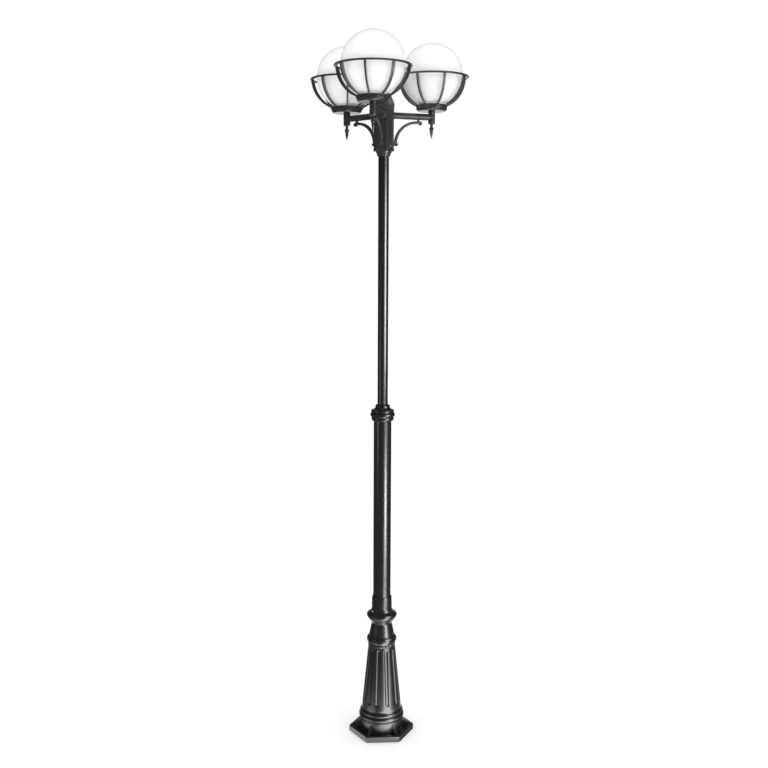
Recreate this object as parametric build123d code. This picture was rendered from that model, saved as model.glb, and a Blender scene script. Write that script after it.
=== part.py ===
from build123d import *
import math
import os

# Garden lamp post with three globe heads. All sizes are millimetres and degrees.
# The origin is the centre of the foot's underside, +Z runs up the post, and the
# hexagonal foot has two of its corners on the X axis.

# Clearances
socket_gap = 0.25          # round a tube in its socket, and a spigot in its hole
seat_gap = 0.2             # between two curved faces of one fixed assembly
lift_gap = 0.3             # round a piece that lifts out
thread_gap = 0.1           # round a screw in its hole
ball_gap = 2.5             # least gap between a globe and the ribs round it

# Hexagonal foot
foot_across_corners = 225.0
foot_rim_height = 21.0
foot_rim_width = 8.0
foot_floor = 9.0
foot_bevel = 2.5
web_thickness = 7.0
web_rise = 26.0
anchor_count = 3
anchor_circle = 164.0
anchor_hole_radius = 5.0
anchor_angle = 30.0

# Fluted base column, from the ground up
base_wall = 6.0
plinth_radius = 73.5
plinth_height = 52.0
groove_width = 3.0
groove_depth = 2.0
great_bead_bulge = 5.6
great_bead_height = 18.0
second_bead_bulge = 3.0
second_bead_height = 12.0
foot_cove_height = 10.0
cone_bottom_radius = 67.8
cone_top_radius = 46.3
cone_height = 218.0
flute_count = 12
flute_angle = 15.0
flute_round = 10.9
flute_depth = 3.0
flute_low_margin = 16.0
flute_high_margin = 4.0
rope_core_radius = 45.0
rope_bulge = 2.2
rope_height = 12.0
collar_radius = 47.3
collar_bulge = 3.9
collar_height = 23.0
collar_cove_height = 7.0
vase_bottom_radius = 43.2
vase_top_radius = 34.8
vase_height = 40.0
bell_radius = 48.6
bell_height = 20.0
lip_bulge = 3.0
lip_height = 16.0
shelf_rise = 4.0
socket_foot_radius = 40.4
socket_foot_height = 20.0
socket_radius = 34.9
socket_top_radius = 33.6
socket_height = 35.0
socket_chamfer = 2.0
base_socket_depth = 160.0
base_ledge = 7.0

# Tubes
lower_tube_radius = 30.0
lower_tube_wall = 2.5
lower_tube_length = 810.0
upper_tube_radius = 17.5
upper_tube_wall = 2.0
upper_tube_length = 970.0
cable_bore_radius = 15.0

# Collar that joins the two tubes
reducer_socket_depth = 38.2
reducer_lip_radius = 31.6
reducer_skirt_radius = 37.5
reducer_skirt_round = 6.0
reducer_skirt_height = 13.0
reducer_ring_bulge = 4.1
reducer_ring_height = 16.0
reducer_shoulder_radius = 38.8
reducer_shoulder_height = 8.2
reducer_shelf_radius = 30.2
reducer_shelf_rise = 3.0
reducer_neck_radius = 24.6
reducer_neck_height = 9.5
reducer_cap_round = 6.0
sleeve_depth = 76.0
sleeve_ledge = 6.0

# Set screws of the base and the hub
base_screw_count = 3
base_screw_angle = 90.0
base_screw_level = 8.0     # above the shelf
base_screw_radius = 3.0
base_screw_head_radius = 4.4
base_screw_head_length = 4.0
hub_screw_radius = 3.0
hub_screw_head_radius = 3.6
hub_screw_head_length = 2.6
hub_screw_level = 16.0     # above the hexagon's underside
key_share = 0.5            # hexagon key socket across corners, as a share of the head

# Hexagonal hub
first_head_angle = 15.0
head_names = ["right", "left", "front"]
hub_socket_depth = 69.0
hub_neck_radius = 19.4
hub_neck_ring_radius = 22.2
hub_neck_flare_radius = 25.6
hub_neck_height = 16.0
hub_neck_ring_height = 5.6
hub_neck_flare_height = 12.8
hub_corner_radius = 33.5
hub_height = 145.0
hub_wall = 5.0
hub_ledge = 4.0
hub_band_step = 1.1
hub_band_chamfer = 0.9
hub_low_band = 11.0
hub_high_band = 15.0
hub_edge_bead = 2.1
hub_chamber_depth = 60.0
hub_partition = 8.0
hub_boss_radius = 6.5
hub_boss_height = 8.0
hub_wire_hole_radius = 4.5
hub_wire_hole_circle = 13.5
stud_radius = 3.0

# Cap over the hub
cap_eave_radius = 36.5
cap_eave_draft = 0.8
cap_lip_width = 12.0
cap_eave_height = 4.0
cap_shoulder_radius = 27.0
cap_shoulder_height = 21.0
cap_crown_radius = 15.0
cap_crown_height = 20.0
cap_top_radius = 9.0
cap_top_height = 9.0
cap_wall = 4.5
cap_skirt_depth = 8.0
cap_skirt_wall = 3.0
spire_base_radius = 8.5
spire_base_height = 4.0
spire_neck_radius = 5.0
spire_neck_height = 5.0
spire_ball_radius = 9.5
spire_ball_height = 17.0
spire_tip_radius = 1.5
spire_tip_height = 16.0
spire_hole_depth = 14.0

# Connector block inside the hub
block_depth = 9.0
block_width = 18.0
block_height = 14.0
block_centre = 15.5
block_angle = 75.0
block_hole_count = 4
block_hole_radius = 1.7
block_hole_rise = 2.0      # above the middle of the block

# Arms
head_distance = 165.0      # post axis to head axis
arm_drop = 30.0            # arm axis below the top of the hub
arm_radius = 10.4
arm_bore_radius = 5.0
arm_flange_radius = 14.0
arm_flange_length = 4.0
arm_flare_length = 6.0
arm_spigot_radius = 8.0
arm_end_radius = 7.0
arm_end_gap = 5.5          # from the end of the arm to the head axis
arm_end_overlap = 3.0
arm_thread_extra = 1.0     # spigot beyond its nut
arm_nut_radius = 12.0
arm_nut_thickness = 4.0

# Scroll bracket under each arm
scroll_near = 40.0         # centre line's foot, from the post axis
scroll_run = 74.0
scroll_level = 24.5        # centre line's foot above the hexagon's underside
scroll_rise = 71.1
scroll_thickness = 9.0
scroll_width = 9.0
scroll_roll_radius = 6.0
scroll_roll_width = 11.0
scroll_tail = 10.5
scroll_post_width = 5.0
scroll_post_place = 5.0
scroll_lug_height = 13.0
scroll_low_drop = 2.0
scroll_low_reach = 4.5
dowel_radius = 2.5
dowel_length = 3.5

# Stem and drop finial under each head
stem_radius = 11.25
stem_above_arm = 19.0
stem_below_arm = 22.0
stem_chamfer = 2.0
stem_cross_depth = 14.8
drop_stud_radius = 3.0
drop_stud_length = 9.0
drop_neck_radius = 4.6
drop_neck_length = 10.0
drop_bead_bulge = 2.9
drop_bead_height = 12.0
drop_body_radius = 4.5
drop_body_bulge = 0.7
drop_body_length = 10.0
drop_tip_radius = 1.3
drop_tip_round = 2.0
drop_tip_length = 15.0

# Cup that holds the globe
cup_radius = 50.0
cup_height = 20.0
cup_bevel = 5.0
cup_wall = 2.5
cup_floor = 3.0
cup_screw_count = 3
cup_screw_angle = 22.5
cup_screw_level = 12.5
cup_screw_radius = 2.0
cup_screw_head_radius = 3.5
cup_screw_head_length = 3.0

# Basket of ribs round the globe
rim_gap = 10.0             # between the globe and the rim, all round
rim_width = 11.0
rim_height = 5.5
rim_chamfer = 1.3
rib_count = 8
rib_outer_margin = 5.0     # radius of the ribs' outer arc beyond the globe's radius
rib_inner_margin = 1.0     # and of their inner arc
rib_top_inset = 2.5        # from the rim's outside to the ribs' outside
rib_top_depth = 12.0
rib_top_width = 6.0
rib_foot_width = 4.8
rib_tail_thickness = 3.6
rib_tail_drop = 9.0
rib_foot_drop = 3.0        # of the outer arc's foot below the cup's top
rib_foot_rise = 2.5        # of the inner arc's foot above the cup's top

# Globe
globe_radius = 100.0
globe_wall = 3.0
globe_rise = 4.5           # centre of the ball above the rim's top
neck_radius = 43.0
neck_rise = 4.7            # of the neck above the cup
neck_lip = 1.5
neck_lip_height = 3.0
gasket_width = 6.0
gasket_thickness = 2.0

# Lampholder and bulb
nipple_radius = 5.0
nipple_bore_radius = 3.4
nipple_length = 30.0
nipple_in_stem = 11.0
holder_nut_radius = 8.5
holder_nut_thickness = 4.0
holder_radius = 19.0
holder_foot_radius = 12.0
holder_foot_height = 13.0
holder_height = 40.0
bulb_cap_radius = 13.2
bulb_cap_length = 24.0
bulb_wall = 1.2
bulb_cap_taper = 2.0
bulb_contact_radius = 4.5
bulb_contact_length = 2.0
bulb_radius = 30.0
bulb_length = 82.0
bulb_neck_angle = 35.0     # below the ball's middle, where the neck begins
bulb_neck_hollow = 1.2

# Levels of the base column
cone_level = (plinth_height + groove_width + great_bead_height + second_bead_height
              + foot_cove_height)
rope_level = cone_level + cone_height
collar_level = rope_level + rope_height
vase_level = collar_level + collar_height + collar_cove_height
bell_level = vase_level + vase_height
lip_level = bell_level + bell_height
shelf_level = lip_level + lip_height
socket_level = shelf_level + shelf_rise + socket_foot_height
base_top = socket_level + socket_height
base_seat = base_top - base_socket_depth

# Levels of the tubes, the hub and the heads
lower_tube_top = base_seat + lower_tube_length
reducer_level = lower_tube_top - reducer_socket_depth
sleeve_bottom = lower_tube_top - sleeve_depth
upper_tube_bottom = sleeve_bottom + sleeve_ledge
upper_tube_top = upper_tube_bottom + upper_tube_length
hub_neck_level = upper_tube_top - hub_socket_depth
hub_level = hub_neck_level + hub_neck_height
hub_top = hub_level + hub_height
chamber_level = hub_top - hub_chamber_depth
partition_level = chamber_level - hub_partition
arm_level = hub_top - arm_drop
stem_top = arm_level + stem_above_arm
stem_bottom = arm_level - stem_below_arm
cup_floor_top = stem_top + cup_floor
cup_top = stem_top + cup_height
gasket_top = cup_floor_top + gasket_thickness
holder_level = cup_floor_top + holder_nut_thickness
bulb_seat = holder_level + holder_height - bulb_cap_length

# The ball joins its neck where its sphere is as wide as the neck, a short way above the cup
globe_level = cup_top + neck_rise + math.sqrt(globe_radius ** 2 - neck_radius ** 2)
rim_top = globe_level - globe_rise
rim_bottom = rim_top - rim_height
rim_radius = globe_radius + rim_gap + rim_width
rib_top_radius = rim_radius - rib_top_inset
rib_outer_radius = globe_radius + rib_outer_margin
rib_inner_radius = globe_radius + rib_inner_margin

# Sizes that follow from the hexagons
HALF_FACE = math.radians(30.0)
foot_corner = foot_across_corners / 2.0
hub_flat = hub_corner_radius * math.cos(HALF_FACE)
chamber_flat = hub_flat - hub_wall
tube_socket_radius = upper_tube_radius + socket_gap
reducer_bore_radius = lower_tube_radius + socket_gap


# A point of an outline in the XZ plane
def at(place):
    return (place[0], 0.0, place[1])


# Edges of an outline: a straight run to (radius, height), or an arc that passes
# (radius, height) and ends at (radius, height)
def outline(start, moves):
    edges = []
    here = start
    for move in moves:
        there = move[-2:]
        if len(move) == 4:
            edges.append(ThreePointArc(at(here), at(move[:2]), at(there)))
        else:
            edges.append(Line(at(here), at(there)))
        here = there
    if here != start:
        edges.append(Line(at(here), at(start)))
    return edges


# Flat face in the XZ plane
def profile(start, *moves):
    return make_face(outline(start, moves))


# Solid turned round the Z axis
def turned(start, *moves):
    return revolve(profile(start, *moves), Axis.Z)


# Arc move for a bead that stands out from a core
def bead(core, level, height, bulge):
    return (core + bulge, level + height / 2.0, core, level + height)


# Quarter arc between two places that sets off across and arrives upright: a cove where
# the outline draws in, and a rounded corner where it widens
def cove(start, end):
    sweep = 1.0 - math.sqrt(0.5)
    return (start[0] + (end[0] - start[0]) * (1.0 - sweep), start[1] + (end[1] - start[1]) * sweep,
            end[0], end[1])


# Quarter arc between two places that sets off upright and arrives across
def rounding(start, end):
    sweep = 1.0 - math.sqrt(0.5)
    return (start[0] + (end[0] - start[0]) * sweep, start[1] + (end[1] - start[1]) * (1.0 - sweep),
            end[0], end[1])


# Point half way along an arc of the given radius that bows away from the axis
def bowed_middle(start, end, radius):
    chord = math.dist(start, end)
    sag = radius - math.sqrt(radius ** 2 - (chord / 2.0) ** 2)
    across = (end[1] - start[1]) / chord
    along = (end[0] - start[0]) / chord
    return ((start[0] + end[0]) / 2.0 + sag * across, (start[1] + end[1]) / 2.0 - sag * along)


# Upright disc or ring blank from one level to another
def upright(radius, low, high):
    return Pos(0, 0, low) * extrude(Circle(radius), high - low)


# Upright hexagon with a flat facing the given angle
def hexagon(corner, low, high, flat_angle):
    return Pos(0, 0, low) * Rot(0, 0, flat_angle - 30.0) * extrude(RegularPolygon(corner, 6), high - low)


# Round bar along +X from one distance to another
def radial_bar(radius, near, far, level):
    return Pos(near, 0, level) * Rot(0, 90, 0) * extrude(Circle(radius), far - near)


# Copies of a shape evenly round the Z axis
def ring_of(shape, count, first_angle):
    step = 360.0 / count
    return [Rot(0, 0, first_angle + step * turn) * shape for turn in range(count)]


# Screw along X that points at the axis, with a hexagon key socket in its head
def radial_screw(radius, tip, seat, head_radius, head_length, level):
    shank = radial_bar(radius, tip, seat, level)
    head = radial_bar(head_radius, seat, seat + head_length, level)
    key = RegularPolygon(head_radius * key_share, 6)
    key_hole = Pos(seat + head_length / 2.0, 0, level) * Rot(0, 90, 0) * extrude(key, head_length)
    return shank + head - key_hole


# Tube from one level to another
def tube(radius, wall, low, high):
    return upright(radius, low, high) - upright(radius - wall, low, high)


# Hexagonal foot: a rimmed plate with a web to each corner
def base_foot():
    plate = hexagon(foot_corner, 0, foot_rim_height, 30.0)
    plate = chamfer(plate.edges().group_by(Axis.Z)[-1], foot_bevel)
    pocket_corner = foot_corner - foot_rim_width / math.cos(HALF_FACE)
    foot = plate - hexagon(pocket_corner, foot_floor, foot_rim_height, 30.0)
    web_face = profile((plinth_radius - base_wall / 2.0, 0), (pocket_corner + foot_bevel, 0),
                       (pocket_corner + foot_bevel, foot_rim_height - foot_bevel),
                       (plinth_radius, foot_rim_height + web_rise),
                       (plinth_radius - base_wall / 2.0, foot_rim_height + web_rise))
    web = extrude(web_face, web_thickness / 2.0, both=True)
    return foot + ring_of(web, 6, 0.0)


# Outside of the base column, turned
def base_column():
    bead_level = plinth_height + groove_width
    second_level = bead_level + great_bead_height
    cove_level = second_level + second_bead_height
    second_core = plinth_radius - groove_depth
    cove_start = (second_core, cove_level)
    cone_start = (cone_bottom_radius, cone_level)
    cap_level = collar_level + collar_height
    socket_foot = (socket_foot_radius, shelf_level + shelf_rise)
    return turned(
        (0, 0),
        (plinth_radius, 0),
        (plinth_radius, plinth_height),
        (plinth_radius - groove_depth, plinth_height),
        (plinth_radius - groove_depth, bead_level),
        bead(plinth_radius - groove_depth / 2.0, bead_level, great_bead_height, great_bead_bulge),
        (second_core, second_level),
        bead(second_core, second_level, second_bead_height, second_bead_bulge),
        cove(cove_start, cone_start),
        (cone_top_radius, rope_level),
        (rope_core_radius, rope_level),
        bead(rope_core_radius, rope_level, rope_height, rope_bulge),
        (collar_radius, collar_level),
        bead(collar_radius, collar_level, collar_height, collar_bulge),
        cove((collar_radius, cap_level), (vase_bottom_radius, vase_level)),
        (vase_top_radius, bell_level),
        (bell_radius, lip_level),
        bead(bell_radius, lip_level, lip_height, lip_bulge),
        socket_foot,
        cove(socket_foot, (socket_radius, socket_level)),
        (socket_top_radius, base_top - socket_chamfer),
        (socket_top_radius - socket_chamfer / 2.0, base_top),
        (0, base_top),
    )


# Hollow inside the base: wide in the foot, a cone, and the socket of the lower tube
def base_hollow():
    cable = lower_tube_radius - lower_tube_wall - socket_gap
    return turned(
        (0, 0),
        (plinth_radius - base_wall, 0),
        (plinth_radius - base_wall, plinth_height - base_wall),
        (cone_bottom_radius - base_wall, cone_level),
        (cone_top_radius - base_wall, rope_level),
        (cable, base_seat - base_ledge),
        (cable, base_seat),
        (reducer_bore_radius, base_seat),
        (reducer_bore_radius, base_top),
        (0, base_top),
    )


# Flute cutter: a round bar with ball ends, laid along the cone
def flute_cutter():
    half_width = math.sqrt(flute_round ** 2 - (flute_round - flute_depth) ** 2)
    slope = (cone_bottom_radius - cone_top_radius) / cone_height
    lean = math.degrees(math.atan(slope))
    low = cone_level + flute_low_margin + half_width
    high = rope_level - flute_high_margin - half_width
    outside = (flute_round - flute_depth) / math.cos(math.radians(lean))
    low_radius = cone_bottom_radius - slope * (low - cone_level) + outside
    length = (high - low) / math.cos(math.radians(lean))
    bar = extrude(Circle(flute_round), length)
    cutter = bar + Sphere(flute_round) + Pos(0, 0, length) * Sphere(flute_round)
    return Pos(low_radius, 0, low) * Rot(0, -lean, 0) * cutter


def base_screw_height():
    return shelf_level + base_screw_level


def base_casting():
    body = base_column() + base_foot()
    body = body - base_hollow()
    body = body - ring_of(flute_cutter(), flute_count, flute_angle)
    anchor = Pos(anchor_circle / 2.0, 0, 0) * upright(anchor_hole_radius, 0, foot_rim_height)
    body = body - ring_of(anchor, anchor_count, anchor_angle)
    level = base_screw_height()
    hole = radial_bar(base_screw_radius + thread_gap, 0, base_screw_seat(), level)
    recess = radial_bar(base_screw_head_radius + lift_gap, base_screw_seat(), bell_radius, level)
    return body - ring_of(hole + recess, base_screw_count, base_screw_angle)


def base_screw_seat():
    return (socket_foot_radius + socket_radius) / 2.0


def base_set_screws():
    screw = radial_screw(base_screw_radius, lower_tube_radius, base_screw_seat(),
                         base_screw_head_radius, base_screw_head_length, base_screw_height())
    return ring_of(screw, base_screw_count, base_screw_angle)


def lower_tube():
    return tube(lower_tube_radius, lower_tube_wall, base_seat, lower_tube_top)


def upper_tube():
    return tube(upper_tube_radius, upper_tube_wall, upper_tube_bottom, upper_tube_top)


# Reducer: an ornamental ring over the top of the lower tube, with a sleeve that goes
# down inside it and holds the foot of the upper tube
def mid_collar():
    skirt_top = reducer_level + reducer_skirt_height
    ring_top = skirt_top + reducer_ring_height
    shoulder_top = ring_top + reducer_shoulder_height
    shelf_top = shoulder_top + reducer_shelf_rise
    neck_top = shelf_top + reducer_neck_height
    sleeve_radius = lower_tube_radius - lower_tube_wall - socket_gap
    skirt_foot = (reducer_skirt_radius, reducer_level + reducer_skirt_round)
    return turned(
        (reducer_bore_radius, reducer_level),
        (reducer_lip_radius, reducer_level),
        cove((reducer_lip_radius, reducer_level), skirt_foot),
        (reducer_skirt_radius, skirt_top),
        bead(reducer_skirt_radius, skirt_top, reducer_ring_height, reducer_ring_bulge),
        (reducer_shoulder_radius, shoulder_top),
        (reducer_shelf_radius, shelf_top),
        cove((reducer_shelf_radius, shelf_top), (reducer_neck_radius, neck_top)),
        rounding((reducer_neck_radius, neck_top), (tube_socket_radius, neck_top + reducer_cap_round)),
        (tube_socket_radius, upper_tube_bottom),
        (cable_bore_radius, upper_tube_bottom),
        (cable_bore_radius, sleeve_bottom),
        (sleeve_radius, sleeve_bottom),
        (sleeve_radius, lower_tube_top),
        (reducer_bore_radius, lower_tube_top),
    )


# Round neck under the hub's hexagon
def hub_neck():
    ring_level = hub_neck_level + hub_neck_ring_height
    flare_level = hub_neck_level + hub_neck_flare_height
    flare_foot = (hub_neck_ring_radius, (ring_level + flare_level) / 2.0)
    return turned(
        (0, hub_neck_level),
        (hub_neck_radius, hub_neck_level),
        cove((hub_neck_radius, hub_neck_level), (hub_neck_ring_radius, ring_level)),
        flare_foot,
        cove(flare_foot, (hub_neck_flare_radius, flare_level)),
        (hub_neck_flare_radius, hub_level),
        (0, hub_level),
    )


# Outside of the hexagonal hub, with a band at each end and a bead down each edge
def hub_outside():
    band_corner = hub_corner_radius + hub_band_step
    prism = hexagon(hub_corner_radius, hub_level, hub_top, first_head_angle)
    low_band = hexagon(band_corner, hub_level, hub_level + hub_low_band, first_head_angle)
    low_band = chamfer(low_band.edges().group_by(Axis.Z)[-1], hub_band_chamfer)
    high_band = hexagon(band_corner, hub_top - hub_high_band, hub_top, first_head_angle)
    high_band = chamfer(high_band.edges().group_by(Axis.Z)[0], hub_band_chamfer)
    edge = Pos(hub_corner_radius - hub_edge_bead, 0, 0) * upright(
        hub_edge_bead, hub_level + hub_low_band / 2.0, hub_top - hub_high_band / 2.0)
    return hub_neck() + prism + low_band + high_band + ring_of(edge, 6, first_head_angle + 30.0)


# Hollows of the hub: tube socket, lower chamber, and the upper chamber for the wires
def hub_hollows():
    socket = upright(tube_socket_radius, hub_neck_level, upper_tube_top)
    cable = upright(cable_bore_radius, upper_tube_top, upper_tube_top + hub_ledge)
    lower = upright(tube_socket_radius + hub_ledge, upper_tube_top + hub_ledge, partition_level)
    chamber_corner = chamber_flat / math.cos(HALF_FACE)
    upper = hexagon(chamber_corner, chamber_level, hub_top, first_head_angle)
    wire_hole = Pos(hub_wire_hole_circle, 0, 0) * upright(
        hub_wire_hole_radius, partition_level, chamber_level)
    return socket + cable + lower + upper + ring_of(wire_hole, len(head_names), first_head_angle)


def hub_screw_height():
    return hub_level + hub_screw_level


def stud_bottom():
    return partition_level + hub_partition / 2.0


def dowel_hole():
    return radial_bar(dowel_radius + thread_gap, hub_flat - dowel_length - thread_gap,
                      hub_corner_radius, hub_level + scroll_level)


def hub_body():
    body = hub_outside() - hub_hollows()
    body = body + upright(hub_boss_radius, chamber_level, chamber_level + hub_boss_height)
    body = body - upright(stud_radius + thread_gap, stud_bottom(), chamber_level + hub_boss_height)
    arm_hole = radial_bar(arm_spigot_radius + socket_gap, 0, hub_corner_radius, arm_level)
    body = body - ring_of(arm_hole + dowel_hole(), len(head_names), first_head_angle)
    set_hole = radial_bar(hub_screw_radius + thread_gap, 0, hub_corner_radius, hub_screw_height())
    return body - ring_of(set_hole, len(head_names), first_head_angle + 60.0)


def hub_set_screws():
    screw = radial_screw(hub_screw_radius, upper_tube_radius, hub_flat,
                         hub_screw_head_radius, hub_screw_head_length, hub_screw_height())
    return ring_of(screw, len(head_names), first_head_angle + 60.0)


# Stack of hexagons, each joined to the next by sloping faces
def stepped_hexagons(stations):
    solid = None
    for low, high in zip(stations, stations[1:]):
        sections = [Pos(0, 0, level) * Rot(0, 0, first_head_angle - 30.0) * RegularPolygon(corner, 6)
                    for corner, level in (low, high)]
        piece = loft(sections, ruled=True)
        solid = piece if solid is None else solid + piece
    return solid


def cap_levels():
    eave = hub_top + cap_eave_height
    shoulder = eave + cap_shoulder_height
    crown = shoulder + cap_crown_height
    return eave, shoulder, crown, crown + cap_top_height


# Hexagonal cap: an eave, two sloping tiers, and a skirt that drops inside the hub
def hub_cap():
    eave, shoulder, crown, top = cap_levels()
    roof = stepped_hexagons([(cap_eave_radius, hub_top), (cap_eave_radius - cap_eave_draft, eave),
                             (cap_shoulder_radius, shoulder), (cap_crown_radius, crown),
                             (cap_top_radius, top)])
    hollow = stepped_hexagons([(cap_eave_radius - cap_lip_width, hub_top),
                               (cap_shoulder_radius - cap_wall, shoulder - cap_wall),
                               (cap_crown_radius - cap_wall, crown - cap_wall)])
    skirt_corner = (chamber_flat - lift_gap) / math.cos(HALF_FACE)
    skirt_bottom = hub_top - cap_skirt_depth
    skirt = hexagon(skirt_corner, skirt_bottom, hub_top, first_head_angle)
    skirt_inner = skirt_corner - cap_skirt_wall / math.cos(HALF_FACE)
    skirt = skirt - hexagon(skirt_inner, skirt_bottom, hub_top, first_head_angle)
    hole = upright(stud_radius + lift_gap, hub_top, top)
    return roof - hollow + skirt - hole


# Turned spire on the cap, screwed on to the stud
def cap_finial():
    base = cap_levels()[3]
    neck = base + spire_base_height
    ball = neck + spire_neck_height
    ball_top = ball + spire_ball_height
    body = turned(
        (0, base),
        (spire_base_radius, base),
        (spire_base_radius, base + spire_base_height / 2.0),
        cove((spire_base_radius, base + spire_base_height / 2.0), (spire_neck_radius, neck)),
        (spire_neck_radius, ball),
        bead(spire_neck_radius, ball, spire_ball_height, spire_ball_radius - spire_neck_radius),
        (spire_tip_radius, ball_top + spire_tip_height),
        (0, ball_top + spire_tip_height),
    )
    return body - upright(stud_radius + lift_gap, base, base + spire_hole_depth)


def cap_stud():
    return upright(stud_radius, stud_bottom(), cap_levels()[3] + spire_hole_depth - lift_gap)


# Connector block with a row of wire holes
def connector_block():
    block = Box(block_depth, block_width, block_height)
    hole = extrude(Plane.YZ * Circle(block_hole_radius), block_depth, both=True)
    pitch = block_width / block_hole_count
    first = (block_hole_count - 1) / 2.0
    holes = [Pos(0, pitch * (turn - first), block_hole_rise) * hole for turn in range(block_hole_count)]
    place = Rot(0, 0, block_angle) * Pos(block_centre, 0, chamber_level + block_height / 2.0)
    return place * (block - holes)


def arm_lock_nuts():
    nut = Rot(0, 90, 0) * extrude(RegularPolygon(arm_nut_radius, 6), arm_nut_thickness)
    nut = Pos(chamber_flat - arm_nut_thickness, 0, arm_level) * nut
    nut = nut - radial_bar(arm_spigot_radius + thread_gap, 0, head_distance, arm_level)
    return ring_of(nut, len(head_names), first_head_angle)


# Hollow arm: a flange and flare at the hub, and a saddle end that closes on the stem
def arm():
    inner_end = chamber_flat - arm_nut_thickness - arm_thread_extra
    outer_end = head_distance - arm_end_gap
    flare_start = hub_flat + arm_flange_length
    shape = turned(
        (0, inner_end),
        (arm_spigot_radius, inner_end),
        (arm_spigot_radius, hub_flat),
        (arm_flange_radius, hub_flat),
        (arm_flange_radius, flare_start),
        cove((arm_flange_radius, flare_start), (arm_radius, flare_start + arm_flare_length)),
        (arm_radius, head_distance),
        (0, head_distance),
    )
    shape = Pos(0, 0, arm_level) * Rot(0, 90, 0) * shape
    stem_space = upright(stem_radius + seat_gap, stem_bottom, stem_top)
    shape = shape - Pos(head_distance, 0, 0) * stem_space
    end_start = head_distance - stem_radius - arm_end_overlap
    shape = shape + radial_bar(arm_end_radius, end_start, outer_end, arm_level)
    return shape - radial_bar(arm_bore_radius, 0, head_distance, arm_level)


# Scroll bracket: a quarter of an ellipse with a roll at each end, a lug and dowel
# against the hub, and a short post that the arm holds down
def scroll_bracket():
    centre = (scroll_near + scroll_run, hub_level + scroll_level)
    half = scroll_thickness / 2.0
    band = Ellipse(scroll_run + half, scroll_rise + half) - Ellipse(scroll_run - half, scroll_rise - half)
    reach = scroll_run * 2.0
    quarter = Pos(-reach / 2.0, reach / 2.0) * Rectangle(reach, reach)
    strap = extrude(Plane.XZ * (band & quarter), scroll_width / 2.0, both=True)
    strap = Pos(centre[0], 0, centre[1]) * strap
    top_level = centre[1] + scroll_rise
    tail = Box(scroll_tail, scroll_width, scroll_thickness)
    tail = Pos(centre[0] + scroll_tail / 2.0, 0, top_level) * tail
    roll = Rot(90, 0, 0) * Cylinder(scroll_roll_radius, scroll_roll_width)
    high_roll = Pos(centre[0] + scroll_tail + scroll_roll_radius / 2.0, 0, top_level - half) * roll
    low_end = (scroll_near + scroll_low_reach, centre[1] - scroll_low_drop)
    low_roll = Pos(low_end[0], 0, low_end[1]) * roll
    lug_length = scroll_near - hub_flat
    lug = Pos(hub_flat + lug_length / 2.0, 0, centre[1]) * Box(lug_length, scroll_width, scroll_lug_height)
    post_top = arm_level - arm_radius / 2.0
    post = Pos(centre[0] + scroll_post_place, 0, (top_level + post_top) / 2.0) * Box(
        scroll_post_width, scroll_width, post_top - top_level)
    dowel = radial_bar(dowel_radius, hub_flat - dowel_length, hub_flat, centre[1])
    bracket = strap + tail + high_roll + low_roll + lug + post + dowel
    return bracket - radial_bar(arm_radius + seat_gap, hub_flat, head_distance, arm_level)


# Stem: a turned post with a cross hole for the arm, threaded at both ends
def stem():
    body = upright(stem_radius, stem_bottom, stem_top)
    body = chamfer(body.edges().group_by(Axis.Z)[0], stem_chamfer)
    body = body - upright(nipple_radius + thread_gap, arm_level, stem_top)
    body = body - upright(drop_stud_radius + thread_gap, stem_bottom, stem_bottom + drop_stud_length)
    cross = radial_bar(arm_end_radius + thread_gap, -stem_radius, stem_cross_depth - stem_radius, 0)
    return body - Pos(0, 0, arm_level) * cross


# Turned drop finial, screwed up into the stem
def drop_finial():
    bead_top = stem_bottom - drop_neck_length
    bead_bottom = bead_top - drop_bead_height
    body_bottom = bead_bottom - drop_body_length
    tip = body_bottom - drop_tip_length
    return turned(
        (0, tip),
        cove((0, tip), (drop_tip_radius, tip + drop_tip_round)),
        (drop_body_radius, body_bottom),
        bead(drop_body_radius, body_bottom, drop_body_length, drop_body_bulge),
        (drop_neck_radius, bead_bottom),
        bead(drop_neck_radius, bead_bottom, drop_bead_height, drop_bead_bulge),
        (drop_neck_radius, stem_bottom),
        (drop_stud_radius, stem_bottom),
        (drop_stud_radius, stem_bottom + drop_stud_length),
        (0, stem_bottom + drop_stud_length),
    )


def cup_screw_height():
    return stem_top + cup_screw_level


# Cup with a bevelled underside, a hole for the nipple and three screw holes
def globe_cup():
    shape = turned(
        (nipple_radius + thread_gap, stem_top),
        (cup_radius - cup_bevel, stem_top),
        (cup_radius, stem_top + cup_bevel),
        (cup_radius, cup_top),
        (cup_radius - cup_wall, cup_top),
        (cup_radius - cup_wall, cup_floor_top),
        (nipple_radius + thread_gap, cup_floor_top),
    )
    hole = radial_bar(cup_screw_radius + thread_gap, neck_radius, cup_radius, cup_screw_height())
    return shape - ring_of(hole, cup_screw_count, cup_screw_angle)


def cup_screws():
    tip = neck_radius + neck_lip + lift_gap
    level = cup_screw_height()
    shank = radial_bar(cup_screw_radius, tip, cup_radius, level)
    head = radial_bar(cup_screw_head_radius, cup_radius, cup_radius + cup_screw_head_length, level)
    return ring_of(shank + head, cup_screw_count, cup_screw_angle)


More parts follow.
